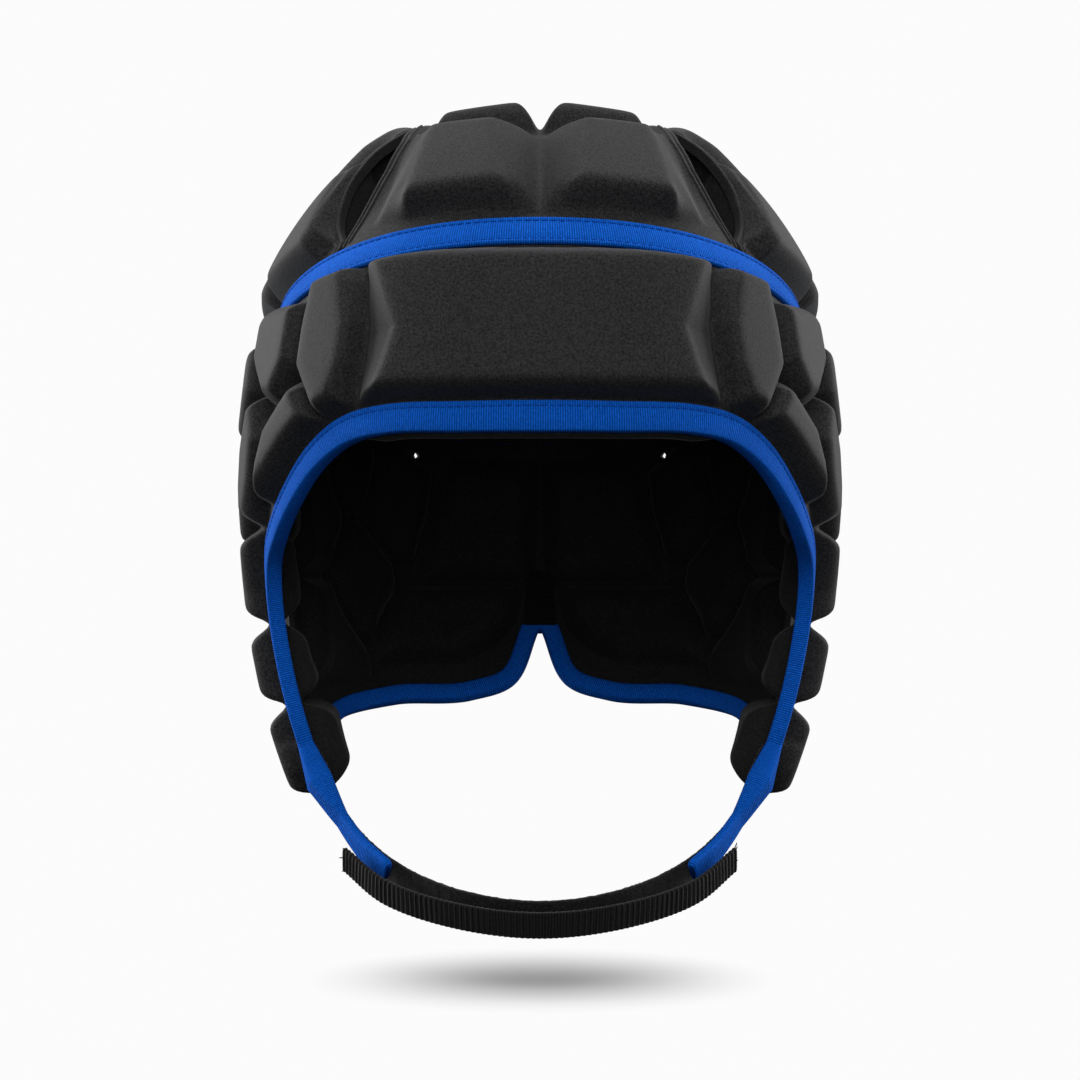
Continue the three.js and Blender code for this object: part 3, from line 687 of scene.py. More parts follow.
def relief(base, fields, edges, bulge, proud=0.0, lift=0.0, flatness=PAD_FLATNESS):
    """Outer and inner grids of a padded panel, from its pads' fields and its edges, each with the depth
    behind it and the width of the pads' sides there. Fabric between the pads may stand proud."""
    shape = base.shape[:2]
    feet, tops, swells = (np.stack(field) for field in zip(*fields))
    order = np.argsort(feet, axis=0)[:2]
    first, second = np.take_along_axis(feet, order, axis=0)
    top, swell = (np.take_along_axis(field, order[:1], axis=0)[0] for field in (tops, swells))
    bulge, proud = (np.broadcast_to(value, first.shape).reshape(shape) for value in (bulge, proud))
    valley = np.maximum(np.minimum((second - first) / 2, PAD_GROW - first), 0)
    climb = valley / np.maximum(valley + np.maximum(top, 0), TINY) + np.maximum(-top, 0) / SHOULDER_REACH
    for depth, width in edges:
        climb = soft_least(climb, np.maximum(depth, 0) / width, EDGE_BLEND)
    climb = np.maximum(climb, 0)
    climb = (np.sqrt(climb * climb + FOOT * FOOT) - FOOT).reshape(shape)
    share = np.maximum(soft_least(climb, 1.0, SHOULDER), 0)
    crowning = PAD_CROWNING * smooth_step(climb, *CROWNING_SPAN)
    ground = proud * (1 - share)
    rise = VALLEY + (PAD_RISE + lift - flatness * swell.reshape(shape)) * share + crowning + ground
    inward = np.maximum(soft_least(valley.reshape(shape) / INNER_SIDE, climb, INNER_BLEND), 0)
    pillow = 1 - (1 - np.minimum(inward, 1)) ** PILLOW_POWER
    sink = INNER_VALLEY - bulge * pillow + ground * PROUD_INSIDE
    return on_head(base, blur(rise, base, 1)), on_head(base, blur(sink, base, 2))


def plane_swell(points, inside):
    """How far the head's surface swells out of the flattest plane through a pad."""
    middle = points[inside].mean(0)
    way = np.linalg.eigh(np.cov((points[inside] - middle).T))[1][:, 0]
    way = way * np.sign(way @ (middle - CENTRE))
    return np.clip((points - middle) @ way, -SWELL_MOST, SWELL_MOST)


def upright_swell(points, levels, alongs, low, high):
    """How far the head's surface swells out of straight lines from a pad's upper edge to its lower edge."""
    top, foot = wall_point(alongs, low), wall_point(alongs, high)
    share = np.clip((levels - low) / (high - low), 0, 1)[:, None]
    off = ((points - top - (foot - top) * share) * head_normal(points - CENTRE)).sum(1)
    return np.clip(off - off[(levels > low) & (levels < high)].mean(), -SWELL_MOST, SWELL_MOST)


def pad_fields(points, levels, alongs, pad, place):
    """Signed distances to a pad's foot and to its flat top, and the swell to take off its top."""
    name, *foot = pad
    distance = pad_distance(points, levels, alongs, foot, place)
    top = pad_distance(points, levels, alongs, TOPS[name], place) if name in TOPS else distance + PAD_INSET
    if name == "brow_pad":
        level = TOPS[name][0]
        return distance, top, upright_swell(points, levels, alongs, level[0], level[-1])
    return distance, top, plane_swell(points, top < 0)


def mirror_rows(grid):
    """A grid on the wearer's left, extended over the middle to the right."""
    return np.concatenate([grid[:0:-1] * MIRROR, grid])


# Lower shell

SHELL_ROWS = 380
SHELL_COLUMNS = 120
BROW_ROWS = 84
RIM_SAMPLES = 1500
RIM_STEPS = 300


def even_rows(count):
    """Rows of the rim's table at even steps, midway between band and rim."""
    rows = np.linspace(0, RIM_END, RIM_SAMPLES)
    top = band_point(np.interp(rows, np.arange(RIM_END + 1), RIM[:, 2]))
    length = run_length((top + curve(RIM_POINTS, rows)) / 2)
    return np.interp(np.linspace(0, length[-1], count), length, rows)


def leaf_at(rows):
    """Width of the binding's outer leaf along the rim, and a narrow hem under the ear flap."""
    face = BROW_LEAF + (CHEEK_LEAF - BROW_LEAF) * np.clip(rows / (RIM_FLAP_FRONT * LEAF_TAPER), 0, 1)
    return np.where(rows <= RIM_FLAP_FRONT, face, np.where(rows >= RIM_FLAP_REAR, NAPE_LEAF, FLAP_HEM))


EAR = wall_point(EAR_HOLE["around"], EAR_HOLE["drop"])
VENT = wall_point(VENT_HOLE["around"], VENT_HOLE["drop"])


def ear_size(points):
    """1 on the ear hole's oval, less inside it."""
    y = (points[..., 1] - EAR[1]) / EAR_HOLE["half_width"]
    z = (points[..., 2] - EAR[2]) / EAR_HOLE["half_height"]
    return np.where(points[..., 0] > 0, np.hypot(y, z), FAR)


def vent_size(points):
    return np.linalg.norm(points - VENT, axis=-1) / VENT_HOLE["radius"]


def open_hole(base, quads, measure, middle):
    """Takes out the quads inside a hole and draws the grid onto its edge."""
    flat = base.reshape(-1, 3)
    size = measure(flat)
    inside = size[quads].max(1) < 1
    edge = np.intersect1d(quads[inside], quads[~inside])
    flat[edge] = on_head(middle + (flat[edge] - middle) / size[edge][:, None])
    return quads[~inside]


def wall_place(drop, around):
    return wall_point(around, drop)


def wall_edges(points, around, drop):
    """Depth of the side wall's points behind each edge, with the width of the pads' sides there."""
    rows = np.linspace(0, RIM_END, RIM_STEPS)
    gap, nearest = line_distance(points, curve(RIM_POINTS, rows))
    ear = (ear_size(points) - 1) * EAR_HOLE["half_width"]
    vent = (vent_size(points) - 1) * VENT_HOLE["radius"]
    seam = np.where(around > 90, points[:, 0] - back_half(drop), FAR)
    return [
        (-band_distance(points) - BAND_WIDTH / 2 - SEAM_BARE, BAND_SIDE),
        (gap - leaf_at(rows)[nearest] - RIM_BARE, RIM_SIDE),
        (ear - EAR_BARE, HOLE_SIDE),
        (vent - VENT_BARE, HOLE_SIDE),
        (seam - SEAM_BARE, SEAM_SIDE),
    ]


def lower_shell(materials):
    base = rib_point(even_rows(SHELL_ROWS), np.linspace(0, 1, SHELL_COLUMNS))
    quads = grid_quads(SHELL_ROWS, SHELL_COLUMNS)
    quads = open_hole(base, quads, ear_size, EAR)
    quads = open_hole(base, quads, vent_size, VENT)
    points = base.reshape(-1, 3)
    around = np.degrees(np.arctan2(points[:, 0], -points[:, 1]))
    drop = -points[:, 2]
    fields = [pad_fields(points, drop, around, pad, wall_place) for pad in [BROW_PAD, *WALL_PADS]]
    edges = wall_edges(points, around, drop)
    bulge = INNER_BULGE + FLAP_BULGE * smooth_step(drop, *FLAP_SPAN) * (around < FLAP_END)
    outer, inner = (mirror_rows(grid) for grid in relief(base, fields, edges, bulge))
    row, column = quads // SHELL_COLUMNS, quads % SHELL_COLUMNS
    middle = SHELL_ROWS - 1
    left = ((middle + row) * SHELL_COLUMNS + column)[:, ::-1]
    right = (middle - row) * SHELL_COLUMNS + column
    beside = row.min(1) >= BROW_ROWS
    brow = np.concatenate([right[~beside], left[~beside]])
    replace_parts(shell_piece("brow_panel", outer, inner, brow, materials), "brow_pad")
    for (hand, _), part in zip(HANDS, (left[beside], right[beside])):
        piece = shell_piece(f"side_panel_{hand}", outer, inner, part, materials)
        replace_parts(piece, f"side_wall_{hand}", *[f"{pad[0]}_{hand}" for pad in WALL_PADS])


# Crown

STRIP_GRID = (300, 96)
SIDE_GRID = (210, 96)
LEAN_PASSES = 4


def slit_margin(over):
    """Flat fabric beside the vent slits, and only a seam's bare edge along the rest."""
    return SEAM_BARE + SLIT_MARGIN * between(over, *SLIT_MARGIN_SPAN)


def slit_stand(over):
    """How far the fabric beside the vent slits stands out of the valleys."""
    return SLIT_STAND * between(over, *SLIT_STAND_SPAN)


def strip_point(share, over):
    """The crown strip's points: share of its half-width, degrees over the top."""
    return crown_point(over, share * strip_half(over))


def lean_out(pad, levels, over):
    """How many times further out a strip pad's points lie, since the pad spreads towards its front."""
    name, level, start, end = pad
    begin = np.interp(levels, level, start)
    along = (over - begin) / (np.interp(levels, level, end) - begin)
    return 1 + STRIP_LEAN[name] / level[-1] * (1 - np.clip(along, 0, 1))


def strip_place(pad, side, levels, over):
    return crown_point(over, side * levels * lean_out(pad, levels, over))


def crown_strip(materials):
    rows, columns = STRIP_GRID
    share = np.linspace(-1, 1, columns)
    lines = [partial(strip_point, s) for s in share]
    front, rear = (np.array([over_at_band(line, end) for line in lines]) for end in (OVER_FRONT, OVER_REAR))
    over = front + (rear - front) * np.linspace(0, 1, rows)[:, None]
    base = strip_point(share, over)
    points, over = base.reshape(-1, 3), over.ravel()
    half, across = strip_half(over), np.abs(points[:, 0])
    fields = []
    for pad in STRIP_PADS:
        for _, side in HANDS:
            levels = points[:, 0] * side
            for _ in range(LEAN_PASSES):
                levels = points[:, 0] * side / lean_out(pad, levels, over)
            fields.append(pad_fields(points, levels, over, pad, partial(strip_place, pad, side)))
    edges = [
        (band_distance(points) - BAND_WIDTH / 2 - STRIP_BARE, BAND_SIDE),
        (half - across - slit_margin(over), SEAM_SIDE),
    ]
    proud = slit_stand(over) * smooth_step(across / half, *STRIP_STAND_SPAN)
    outer, inner = relief(base, fields, edges, INNER_BULGE, proud)
    quads = grid_quads(rows, columns)[:, ::-1]
    piece = shell_piece("crown_strip_panel", outer, inner, quads, materials)
    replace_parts(piece, "crown_strip", *[f"{pad[0]}_{hand}" for pad in STRIP_PADS for hand, _ in HANDS])


def crown_sides(materials):
    rows, columns = SIDE_GRID
    along, down = np.meshgrid(np.linspace(0, 100, rows), np.linspace(0, 100, columns), indexing="ij")
    over = side_over(along)
    base = side_point(down, along)
    points = base.reshape(-1, 3)
    fields = [pad_fields(points, down.ravel(), along.ravel(), pad, side_point) for pad in SIDE_PADS]
    depth = np.linalg.norm(base - base[:, :1], axis=-1) - slit_margin(over)
    edges = [
        (band_distance(points) - BAND_WIDTH / 2 - SEAM_BARE, BAND_SIDE),
        (depth.ravel(), SEAM_SIDE),
    ]
    proud = slit_stand(over) * (1 - smooth_step(depth, *SIDE_STAND_SPAN))
    outer, inner = relief(base, fields, edges, INNER_BULGE, proud.ravel(), SIDE_LIFT, SIDE_FLATNESS)
    quads = grid_quads(rows, columns)
    for hand, side in HANDS:
        flip = np.array([side, 1, 1])
        turned = quads[:, ::-1] if side > 0 else quads
        piece = shell_piece(f"crown_side_panel_{hand}", outer * flip, inner * flip, turned, materials)
        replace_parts(piece, f"crown_side_{hand}", *[f"{pad[0]}_{hand}" for pad in SIDE_PADS])


def slit_piping(material):
    """Two thin rolled lines along each edge of both vent slits."""
    over = np.linspace(SLIT_FOOT - PIPING["below"], SLIT_TOP + PIPING["above"], PIPING["steps"])
    near, far = strip_half(over), strip_half(over) + slit_width(over)
    rise = VALLEY + PIPING["rise"] + slit_stand(over)
    tubes = []
    for _, side in HANDS:
        for step in PIPING["lines"]:
            for across in (near - step, far + step):
                path = on_head(crown_point(over, across), rise)
                tubes.append(round_tube(path * np.array([side, 1, 1]), PIPING["radius"]))
    sweep_piece("slit_piping", tubes, material)


# Materials

# Spread of the knit's roughness, and the length of a wave in a wave texture of scale 1.
KNIT_SPREAD = 0.08
WAVE_LENGTH = math.pi / 10


def new_material(name):
    material = bpy.data.materials.new(name)
    material.use_nodes = True
    return material, material.node_tree, material.node_tree.nodes["Principled BSDF"]


def set_inputs(node, **values):
    """Sets a node's inputs, named with underscores for spaces."""
    for name, value in values.items():
        node.inputs[name.replace("_", " ")].default_value = value


def add_node(tree, kind, **values):
    node = tree.nodes.new("ShaderNode" + kind)
    set_inputs(node, **values)
    return node


def add_ramp(tree, *stops):
    ramp = add_node(tree, "ValToRGB")
    for element, (position, colour) in zip(ramp.color_ramp.elements, stops):
        element.position = position
        element.color = (*colour, 1)
    return ramp


def wire(tree, *joins):
    """Joins nodes: each row is a node, its output, the next node and its input."""
    for source, output, target, entry in joins:
        tree.links.new(source.outputs[output], target.inputs[entry])


def pad_fabric(name, dark, light, roughness, sheen):
    """Black stretch knit: a fine grain of loops with a slight change of tone and gloss."""
    material, tree, shader = new_material(name)
    set_inputs(shader, Specular_IOR_Level=0.08, Sheen_Weight=sheen, Sheen_Roughness=0.4)
    place = add_node(tree, "TexCoord")
    loops = add_node(tree, "TexVoronoi", Scale=2300)
    grain = add_node(tree, "TexNoise", Scale=1500, Detail=3)
    ramp = add_ramp(tree, (0.34, dark), (0.68, light))
    bump = add_node(tree, "Bump", Strength=0.35, Distance=0.15 * MM)
    rough = add_node(tree, "MapRange", To_Min=roughness - KNIT_SPREAD, To_Max=roughness + KNIT_SPREAD)
    wire(
        tree,
        (place, "Object", loops, "Vector"), (loops, "Distance", bump, "Height"),
        (place, "Object", grain, "Vector"), (grain, "Fac", ramp, "Fac"), (grain, "Fac", rough, "Value"),
        (rough, "Result", shader, "Roughness"), (ramp, "Color", shader, "Base Color"),
        (bump, "Normal", shader, "Normal"),
    )
    return material


def woven(name, dark, light, pitch, sheen, relief_depth):
    """Ribbed tape: fine ribs across its length with grain between them; painted shade in the grooves,
    painted highlight on the crests.
    """
    material, tree, shader = new_material(name)
    set_inputs(shader, Roughness=0.85, Specular_IOR_Level=0.06, Sheen_Weight=sheen)
    place = add_node(tree, "TexCoord")
    ribs = add_node(tree, "TexWave", Scale=WAVE_LENGTH / (pitch * MM), Distortion=0.6, Detail_Scale=2)
    grain = add_node(tree, "TexNoise", Scale=1300)
    # Ribs times grain: this raises the bump and also sets the tone, as painted shade in the grooves and a
    # painted highlight on the crests.
    rib_relief_and_shade = add_node(tree, "Math")
    rib_relief_and_shade.operation = "MULTIPLY"
    # From the darker tone in the rib grooves, which is painted shade, to the lighter one on the crests,
    # which is a painted highlight.
    ramp = add_ramp(tree, (0.08, dark), (0.62, light))
    bump = add_node(tree, "Bump", Strength=0.5, Distance=relief_depth * MM)
    wire(
        tree,
        (place, "UV", ribs, "Vector"), (place, "Object", grain, "Vector"),
        (ribs, "Fac", rib_relief_and_shade, 0), (grain, "Fac", rib_relief_and_shade, 1),
        (rib_relief_and_shade, "Value", ramp, "Fac"), (ramp, "Color", shader, "Base Color"),
        (rib_relief_and_shade, "Value", bump, "Height"), (bump, "Normal", shader, "Normal"),
    )
    return material


# Tape and straps

BAND_STEPS = 480
BAND_SINK = 0.1
BAND_STITCH_ACROSS = 0.7
BAND_STITCH_RISE = 0.82
BAND_SECTION = np.array([
    (-1, 0.1), (-0.98, 0.8), (-0.9, 1.15), (-0.78, 1.12), (-0.7, 0.78), (-0.62, 0.92), (-0.3, 1.08),
    (0, 1.12), (0.3, 1.08), (0.62, 0.92), (0.7, 0.78), (0.78, 1.12), (0.9, 1.15), (0.98, 0.8), (1, 0.1),
    (1, -0.6), (0.5, -0.6), (0, -0.6), (-0.5, -0.6), (-1, -0.6),
])


def band_line(around, across, rise):
    """Places on the crown band: degrees around, share of its half-width, rise."""
    turn = np.abs(around)
    slope = head_normal(band_point(turn) - CENTRE)[..., 2]
    half = BAND_WIDTH / 2 * np.sqrt(1 - slope * slope)
    points = on_head(wall_point(turn, band_drop(turn) - across * half), rise + 0 * around)
    points[..., 0] *= np.where(around < 0, -1, 1)
    return points


def band_piece(material, thread):
    """Tape round the crown, thicker along its two folded edges and stitched beside them."""
    around = np.linspace(-180, 180, BAND_STEPS, endpoint=False)
    base = TAPE_BASE - BAND_SINK
    rings = np.stack([band_line(around, across, base + height) for across, height in BAND_SECTION], axis=1)
    piece = sweep_piece("crown_band_tape", [rings[:, ::-1]], material, loop=True)
    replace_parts(piece, "crown_band")
    lines = []
    for across in (-BAND_STITCH_ACROSS, BAND_STITCH_ACROSS):
        places = band_line(around, across, TAPE_BASE + BAND_STITCH_RISE)
        lines.append((places, head_normal(places - CENTRE)))
    stitches("crown_band_stitches", lines, thread)


# Tape folded over an edge: its outer leaf by mm back from the leaf's edge, then by shares of the leaf, and
# its inner leaf by shares of that leaf, each with the rise from the fabric on its side.
HEM = 1.7
HEM_SECTION = [(0, -0.5), (0.08, 0.45), (0.5, 0.85), (HEM - 0.5, 0.88), (HEM, 0.55), (HEM + 0.6, 0.85)]
OUTER_SECTION = [(0.5, 1.02), (0.25, TAPE)]
INNER_SECTION = [(0.3, -TAPE), (0.8, -0.8 * TAPE), (1, -0.2), (1, 0.1)]
FOLD_STEPS = 9
FOLD_ROOM = 0.2
RIM_FOLD = {"slot_in": 0.2, "slot_out": TAPE_BASE - 0.3, "edge": 0.7}
RIM_STEP = 0.01
RIM_STITCH_RISE = 0.35
FACE_STEPS = 280
NAPE_STEPS = 190
TONGUE_STEPS = 34


def fold_section(leaf, slot_in, slot_out, edge):
    """Outline of tape folded over an edge, as reach onto the fabric and rise above it."""
    middle = (slot_in + slot_out) / 2
    half = (slot_out - slot_in) / 2 + TAPE
    outer = [(leaf - back, slot_out + rise) for back, rise in HEM_SECTION]
    outer += [(leaf * share, slot_out + rise) for share, rise in OUTER_SECTION]
    turn = np.linspace(0, math.pi, FOLD_STEPS)
    bend = -edge - FOLD_ROOM - (TAPE - FOLD_ROOM) * np.sin(turn)
    fold = list(zip(bend, middle + half * np.cos(turn)))
    inner = [(leaf * INNER_LEAF * share, slot_in + rise) for share, rise in INNER_SECTION]
    inside = [(-edge, slot_in), (-edge, slot_out)]
    return np.array(outer + fold + inner + inside)


def frames_along(places, faces, rows):
    """A curve's places at some rows, with the ways along it, across it and out of its face."""
    path = curve(places, rows)
    along = unit(np.gradient(path, axis=0))
    across = unit(np.cross(curve(faces, rows), along))
    return path, along, across, np.cross(along, across)


def rim_frame(rows):
    """Places along the rim and the ways that lead onto the fabric."""
    point = on_head(curve(RIM_POINTS, rows))
    after, before = np.minimum(rows + RIM_STEP, RIM_END), np.maximum(rows - RIM_STEP, 0)
    ahead = unit(curve(RIM_POINTS, after) - curve(RIM_POINTS, before))
    return point, unit(np.cross(head_normal(point - CENTRE), ahead))


def rim_rings(rows):
    point, inward = rim_frame(rows)
    section = np.array([fold_section(width, **RIM_FOLD) for width in leaf_at(rows)])
    return on_head(point[:, None] + inward[:, None] * section[..., :1], section[..., 1])


def rim_stitch_line(rows):
    point, inward = rim_frame(rows)
    rise = np.full(len(rows), TAPE_BASE + RIM_STITCH_RISE)
    places = on_head(point + inward * (leaf_at(rows) - HEM)[:, None], rise)
    return places, head_normal(places - CENTRE)


def tongue_rings():
    """Rings of the left tongue, with its tip rounded off."""
    places, faces, widths, parts = zip(*TONGUE)
    rows = np.linspace(0, len(TONGUE) - 1, TONGUE_STEPS)
    path, along, back, out = frames_along(places, faces, rows)
    width, part = (np.interp(rows, range(len(TONGUE)), sizes) for sizes in (widths, parts))
    steps = TONGUE_TIP["steps"]
    tip = np.linspace(0, math.pi / 2, steps + 1)[1:]
    order = np.concatenate([np.arange(TONGUE_STEPS), np.full(steps, TONGUE_STEPS - 1)])
    reach = np.concatenate([np.zeros(TONGUE_STEPS), TONGUE_TIP["reach"] * np.sin(tip)])
    shrink = np.concatenate([np.ones(TONGUE_STEPS), 1 - TONGUE_TIP["shrink"] * (1 - np.cos(tip))])
    rings = []
    for i, ahead, share in zip(order, reach, shrink):
        section = fold_section(width[i], -part[i] / 2, part[i] / 2, 0) * np.array([share, 1])
        across = section[:, :1] - width[i] * share / 2
        rings.append(path[i] + along[i] * ahead + back[i] * across + out[i] * section[:, 1:])
    return np.array(rings)


def binding(name, rows, rings, material, thread):
    """A tape over part of the rim, with stitches on both sides of the head."""
    piece = sweep_piece(f"{name}_tape", [rings], material)
    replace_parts(piece, name)
    line = rim_stitch_line(rows)
    mirrored = tuple(part * MIRROR for part in line)
    stitches(f"{name}_stitches", [line, mirrored], thread)


def face_binding(material, thread):
    """Tape folded over the face edge, running out into a tongue at each end."""
    rows = np.linspace(0, RIM_FLAP_FRONT, FACE_STEPS)
    left = np.concatenate([rim_rings(rows), tongue_rings()])
    binding("face_binding", rows, mirror_rows(left), material, thread)


def nape_binding(material, thread):
    """Tape folded over the lower edge, from one ear flap round the nape to the other."""
    rows = np.linspace(RIM_FLAP_REAR, RIM_END, NAPE_STEPS)
    left = rim_rings(rows)
    binding("nape_binding", rows, np.concatenate([left, left[::-1] * MIRROR]), material, thread)


def brow_lining(material):
    """Rolled edge of the lining that shows below the binding across the brow."""
    rows = np.linspace(0, LINING["end"], LINING["steps"])
    point, inward = rim_frame(rows)
    reach = LINING["turn_in"] * smooth_step(rows, LINING["turn"], LINING["end"]) - LINING["hang"]
    path = mirror_rows(on_head(point + inward * reach[:, None], np.full(len(rows), LINING["rise"])))
    rings = round_tube(path, LINING["radius"], sides=10)
    sweep_piece("brow_lining_edge", [rings], material)


def nape_gusset(material):
    """Ribbed elastic between the two halves at the nape."""
    rows, columns = GUSSET_GRID
    drop = np.linspace(GUSSET["top_drop"], GUSSET["foot_drop"], rows)
    share = np.linspace(-1, 1, columns)
    half = np.linspace(GUSSET["top_half"], GUSSET["foot_half"], rows)
    base = wall_point(np.full((rows, columns), 180.0), drop[:, None] + 0 * share)
    base[..., 0] = share * half[:, None]
    rib = GUSSET["rib_height"] * np.cos(2 * math.pi * base[..., 2] / GUSSET["rib"])
    grids = [on_head(base, rib + GUSSET[face]) for face in ("outside", "inside")]
    quads = grid_quads(rows, columns)[:, ::-1]
    count = rows * columns
    faces = [quads, quads[:, ::-1] + count, side_walls(border_edges(quads), count)]
    piece = make_piece("nape_gusset_elastic", grids, faces, [material])
    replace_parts(piece, "nape_gusset")


def strap_frames(table, steps):
    """Even places along a strap from one side to the other, with their ways and lengths."""
    columns = np.array(table, float).swapaxes(0, 1)
    at, face = (np.concatenate([rows, rows[-2::-1] * MIRROR]) for rows in columns)
    rows = np.linspace(0, len(at) - 1, steps * 4)
    length = run_length(curve(at, rows))
    even = np.linspace(0, length[-1], steps)
    return *frames_along(at, face, np.interp(even, length, rows)), even


def rounded(wave):
    """A sine or cosine squared off, for the strap's section."""
    return np.sign(wave) * np.abs(wave) ** STRAP_ROUNDING


def strap_rings(table, steps, rib, fuzz, draws):
    path, _, across, out, length = strap_frames(table, steps)
    turn = full_turn(STRAP_SIDES)
    a = rounded(np.cos(turn)) * STRAP_WIDTH / 2
    o = rounded(np.sin(turn)) * STRAP_THICK / 2
    swell = 1 + rib * np.sin(2 * math.pi * length / STRAP_RIB)[:, None]
    rings = path[:, None] + across[:, None] * a[:, None] + out[:, None] * (o * swell)[..., None]
    return rings + fuzz * draws.normal(size=rings.shape)


def frayed_threads(draws):
    """Loose yarn ends at the two cut ends of the ribbed layer."""
    path, along, across, out, _ = strap_frames(STRAP_FRONT, 60)
    share = np.linspace(0, 1, FRAY["steps"])[:, None]
    tubes = []
    for end, way in ((0, -1), (-1, 1)):
        for place in np.linspace(-0.5, 0.5, FRAY["ends"]):
            start = path[end] + across[end] * place * STRAP_WIDTH - along[end] * way * FRAY["tuck"]
            reach = draws.uniform(*FRAY["reach"])
            lean = across[end] * draws.normal(*FRAY["across"]) + out[end] * draws.normal(*FRAY["out"])
            thread = start + along[end] * way * reach * share + lean * share * share * reach
            tubes.append(round_tube(thread, FRAY["radius"], FRAY["sides"]))
    return tubes


def straps(loop_fabric, webbing):
    draws = np.random.default_rng(7)
    back = strap_rings(STRAP, steps=300, rib=0.0, fuzz=0.07, draws=draws)
    piece = sweep_piece("chin_strap_back", [back], loop_fabric)
    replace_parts(piece, "chin_strap")
    front = strap_rings(STRAP_FRONT, steps=700, rib=0.24, fuzz=0.0, draws=draws)
    piece = sweep_piece("chin_strap_ribbed", [front, *frayed_threads(draws)], webbing)
    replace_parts(piece, "chin_strap_front")


# Stage: sizes and places in metres, power in watts.

BACKGROUND = 0.97
FLOOR = {"radius": 3, "sides": 96, "place": (0, -0.03, FLOOR_HEIGHT * MM), "shadow": 0.078}
ROOM_LIGHT = (0.03, 0.45)
ROOM_LOW = -0.6
LAMPS = [
    ("overhead", (0, 0.1, 1.2), (0, 0, -0.1), (1.4, 0.9), 14),
    ("left", (-1.2, 0.45, 0.2), (0, 0, -0.1), (0.7, 0.8), 23),
    ("right", (1.2, 0.45, 0.2), (0, 0, -0.1), (0.7, 0.8), 18),
    ("front", (0, -1.8, 0.0), (0, 0, -0.12), (1.2, 0.8), 6),
    ("front_high", (0, -1.5, 0.7), (0, 0, -0.1), (1.2, 0.6), 11),
]


def add_floor():
    """Plain pale floor: it takes the soft shadow under the object and fades into the background."""
    turn = full_turn(FLOOR["sides"])
    rim = [(FLOOR["radius"] * math.cos(t), FLOOR["radius"] * math.sin(t), 0) for t in turn]
    mesh = bpy.data.meshes.new("floor")
    mesh.from_pydata(rim, [], [tuple(range(len(rim)))])
    material, tree, shader = new_material("pale_floor")
    set_inputs(shader, Base_Color=(0.35, 0.35, 0.35, 1), Roughness=1, Specular_IOR_Level=0)
    place = add_node(tree, "TexCoord")
    away = add_node(tree, "VectorMath")
    away.operation = "LENGTH"
    fade = add_node(tree, "MapRange", From_Min=0.0, From_Max=FLOOR["shadow"])
    fade.interpolation_type = "SMOOTHSTEP"
    glow = add_node(tree, "Emission", Strength=BACKGROUND)
    mix = add_node(tree, "MixShader")
    wire(
        tree,
        (place, "Object", away, 0), (away, "Value", fade, "Value"), (fade, "Result", mix, "Fac"),
        (shader, "BSDF", mix, 1), (glow, "Emission", mix, 2),
        (mix, "Shader", tree.nodes["Material Output"], "Surface"),
    )
    mesh.materials.append(material)
    floor = add_object("floor", mesh)
    floor.location = FLOOR["place"]
    floor.visible_diffuse = False
    floor.visible_glossy = False


def add_lamp(name, place, target, size, power):
    data = bpy.data.lights.new(name, "AREA")
    data.shape = "RECTANGLE"
    data.size, data.size_y = size
    data.energy = power
    lamp = add_object(name, data)
    lamp.location = place
    way = np.array(target) - np.array(place)
    tilt = math.acos(-way[2] / np.linalg.norm(way))
    lamp.rotation_euler = (tilt, 0, math.atan2(way[1], way[0]) - math.pi / 2)
    lamp.visible_camera = False


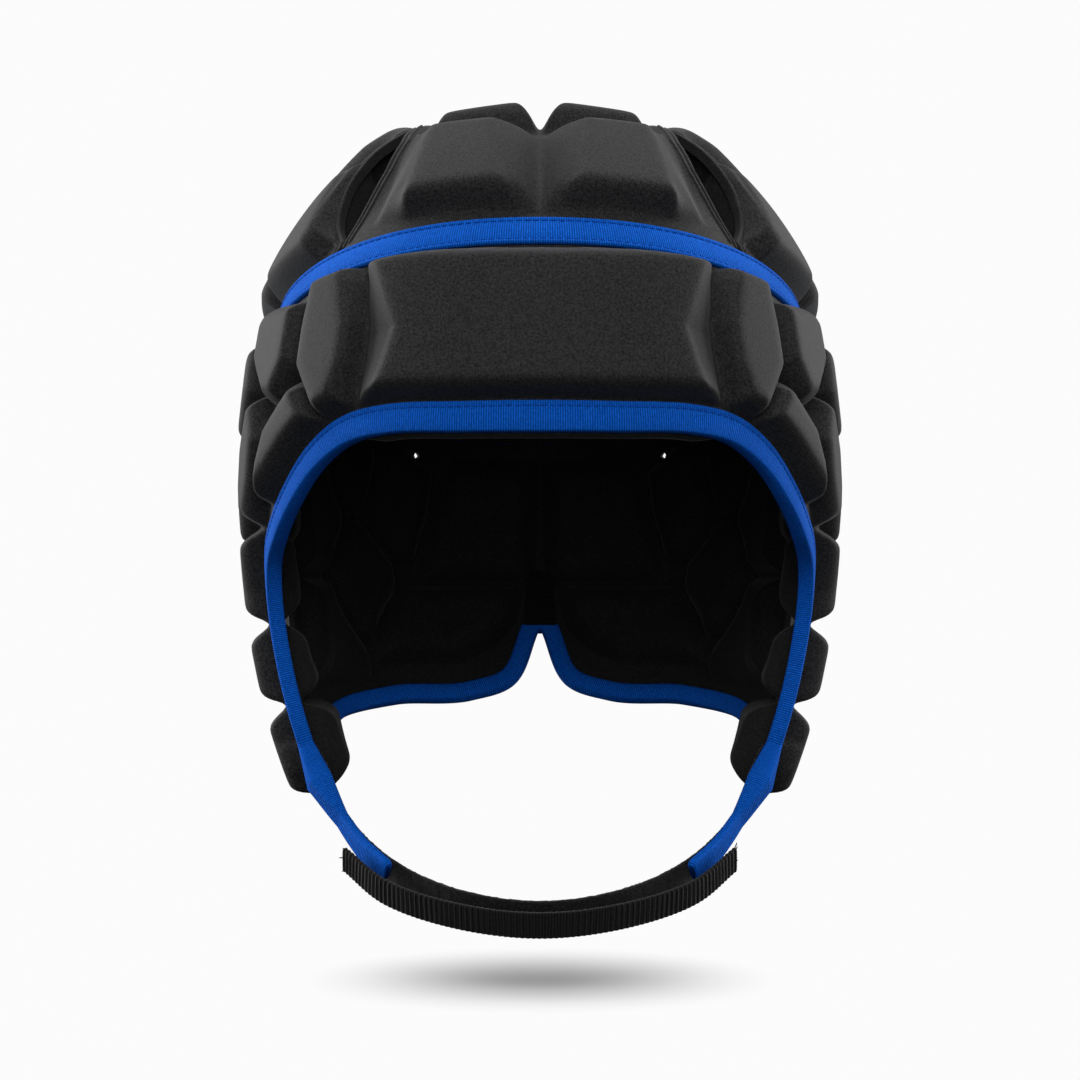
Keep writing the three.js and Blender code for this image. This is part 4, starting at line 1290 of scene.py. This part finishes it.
def add_world():
    """White behind the object, and a soft dim light that is stronger from above."""
    world = bpy.data.worlds.new("studio")
    world.use_nodes = True
    tree = world.node_tree
    seen = tree.nodes["Background"]
    set_inputs(seen, Color=(1, 1, 1, 1), Strength=BACKGROUND)
    room = add_node(tree, "Background")
    place = add_node(tree, "TexCoord")
    height = add_node(tree, "SeparateXYZ")
    low, high = ((grey, grey, grey) for grey in ROOM_LIGHT)
    ramp = add_ramp(tree, (0.0, low), (1.0, high))
    level = add_node(tree, "MapRange", From_Min=ROOM_LOW, From_Max=1)
    path = add_node(tree, "LightPath")
    mix = add_node(tree, "MixShader")
    wire(
        tree,
        (place, "Generated", height, "Vector"), (height, "Z", level, "Value"),
        (level, "Result", ramp, "Fac"), (ramp, "Color", room, "Color"),
        (path, "Is Camera Ray", mix, "Fac"), (room, "Background", mix, 1), (seen, "Background", mix, 2),
        (mix, "Shader", tree.nodes["World Output"], "Surface"),
    )
    bpy.context.scene.world = world


def add_camera():
    data = bpy.data.cameras.new("camera")
    data.sensor_fit = "HORIZONTAL"
    data.angle = 2 * math.atan(FRAME_WIDTH / 2 / CAMERA_DISTANCE)
    camera = add_object("camera", data)
    camera.location = (0, -CAMERA_DISTANCE * MM, CAMERA_HEIGHT * MM)
    camera.rotation_euler = (math.pi / 2, 0, 0)
    bpy.context.scene.camera = camera


bpy.context.scene.view_settings.view_transform = "Standard"
add_camera()
add_floor()
add_world()
for lamp_row in LAMPS:
    add_lamp(*lamp_row)

outer_fabric = pad_fabric(
    "pad_fabric", (0.0085, 0.0085, 0.0086), (0.0315, 0.0315, 0.032), roughness=0.65, sheen=0.08)
lining = pad_fabric(
    "lining_fabric", (0.007, 0.007, 0.007), (0.016, 0.016, 0.016), roughness=0.85, sheen=0.05)
edging = pad_fabric(
    "edge_fabric", (0.012, 0.012, 0.0125), (0.026, 0.026, 0.027), roughness=0.55, sheen=0.15)
fuzzy = pad_fabric(
    "loop_fabric", (0.004, 0.004, 0.004), (0.02, 0.02, 0.02), roughness=0.85, sheen=0.2)
# The woven tapes' dark and light tones are painted shade in the rib grooves and a painted highlight on the
# crests, over the tape's own colour.
blue = woven(
    "blue_tape", (0.001, 0.046, 0.27), (0.005, 0.138, 0.7), pitch=0.7, sheen=0.0, relief_depth=0.25)
blue_thread = woven(
    "blue_thread", (0.002, 0.05, 0.3), (0.004, 0.09, 0.5), pitch=0.4, sheen=0.0, relief_depth=0.1)
black_webbing = woven(
    "black_webbing", (0.004, 0.004, 0.004), (0.016, 0.016, 0.016), pitch=0.9, sheen=0.1, relief_depth=0.2)

lower_shell([outer_fabric, lining])
crown_strip([outer_fabric, lining])
crown_sides([outer_fabric, lining])
slit_piping(edging)
brow_lining(edging)
band_piece(blue, blue_thread)
face_binding(blue, blue_thread)
nape_binding(blue, blue_thread)
nape_gusset(black_webbing)
straps(fuzzy, black_webbing)
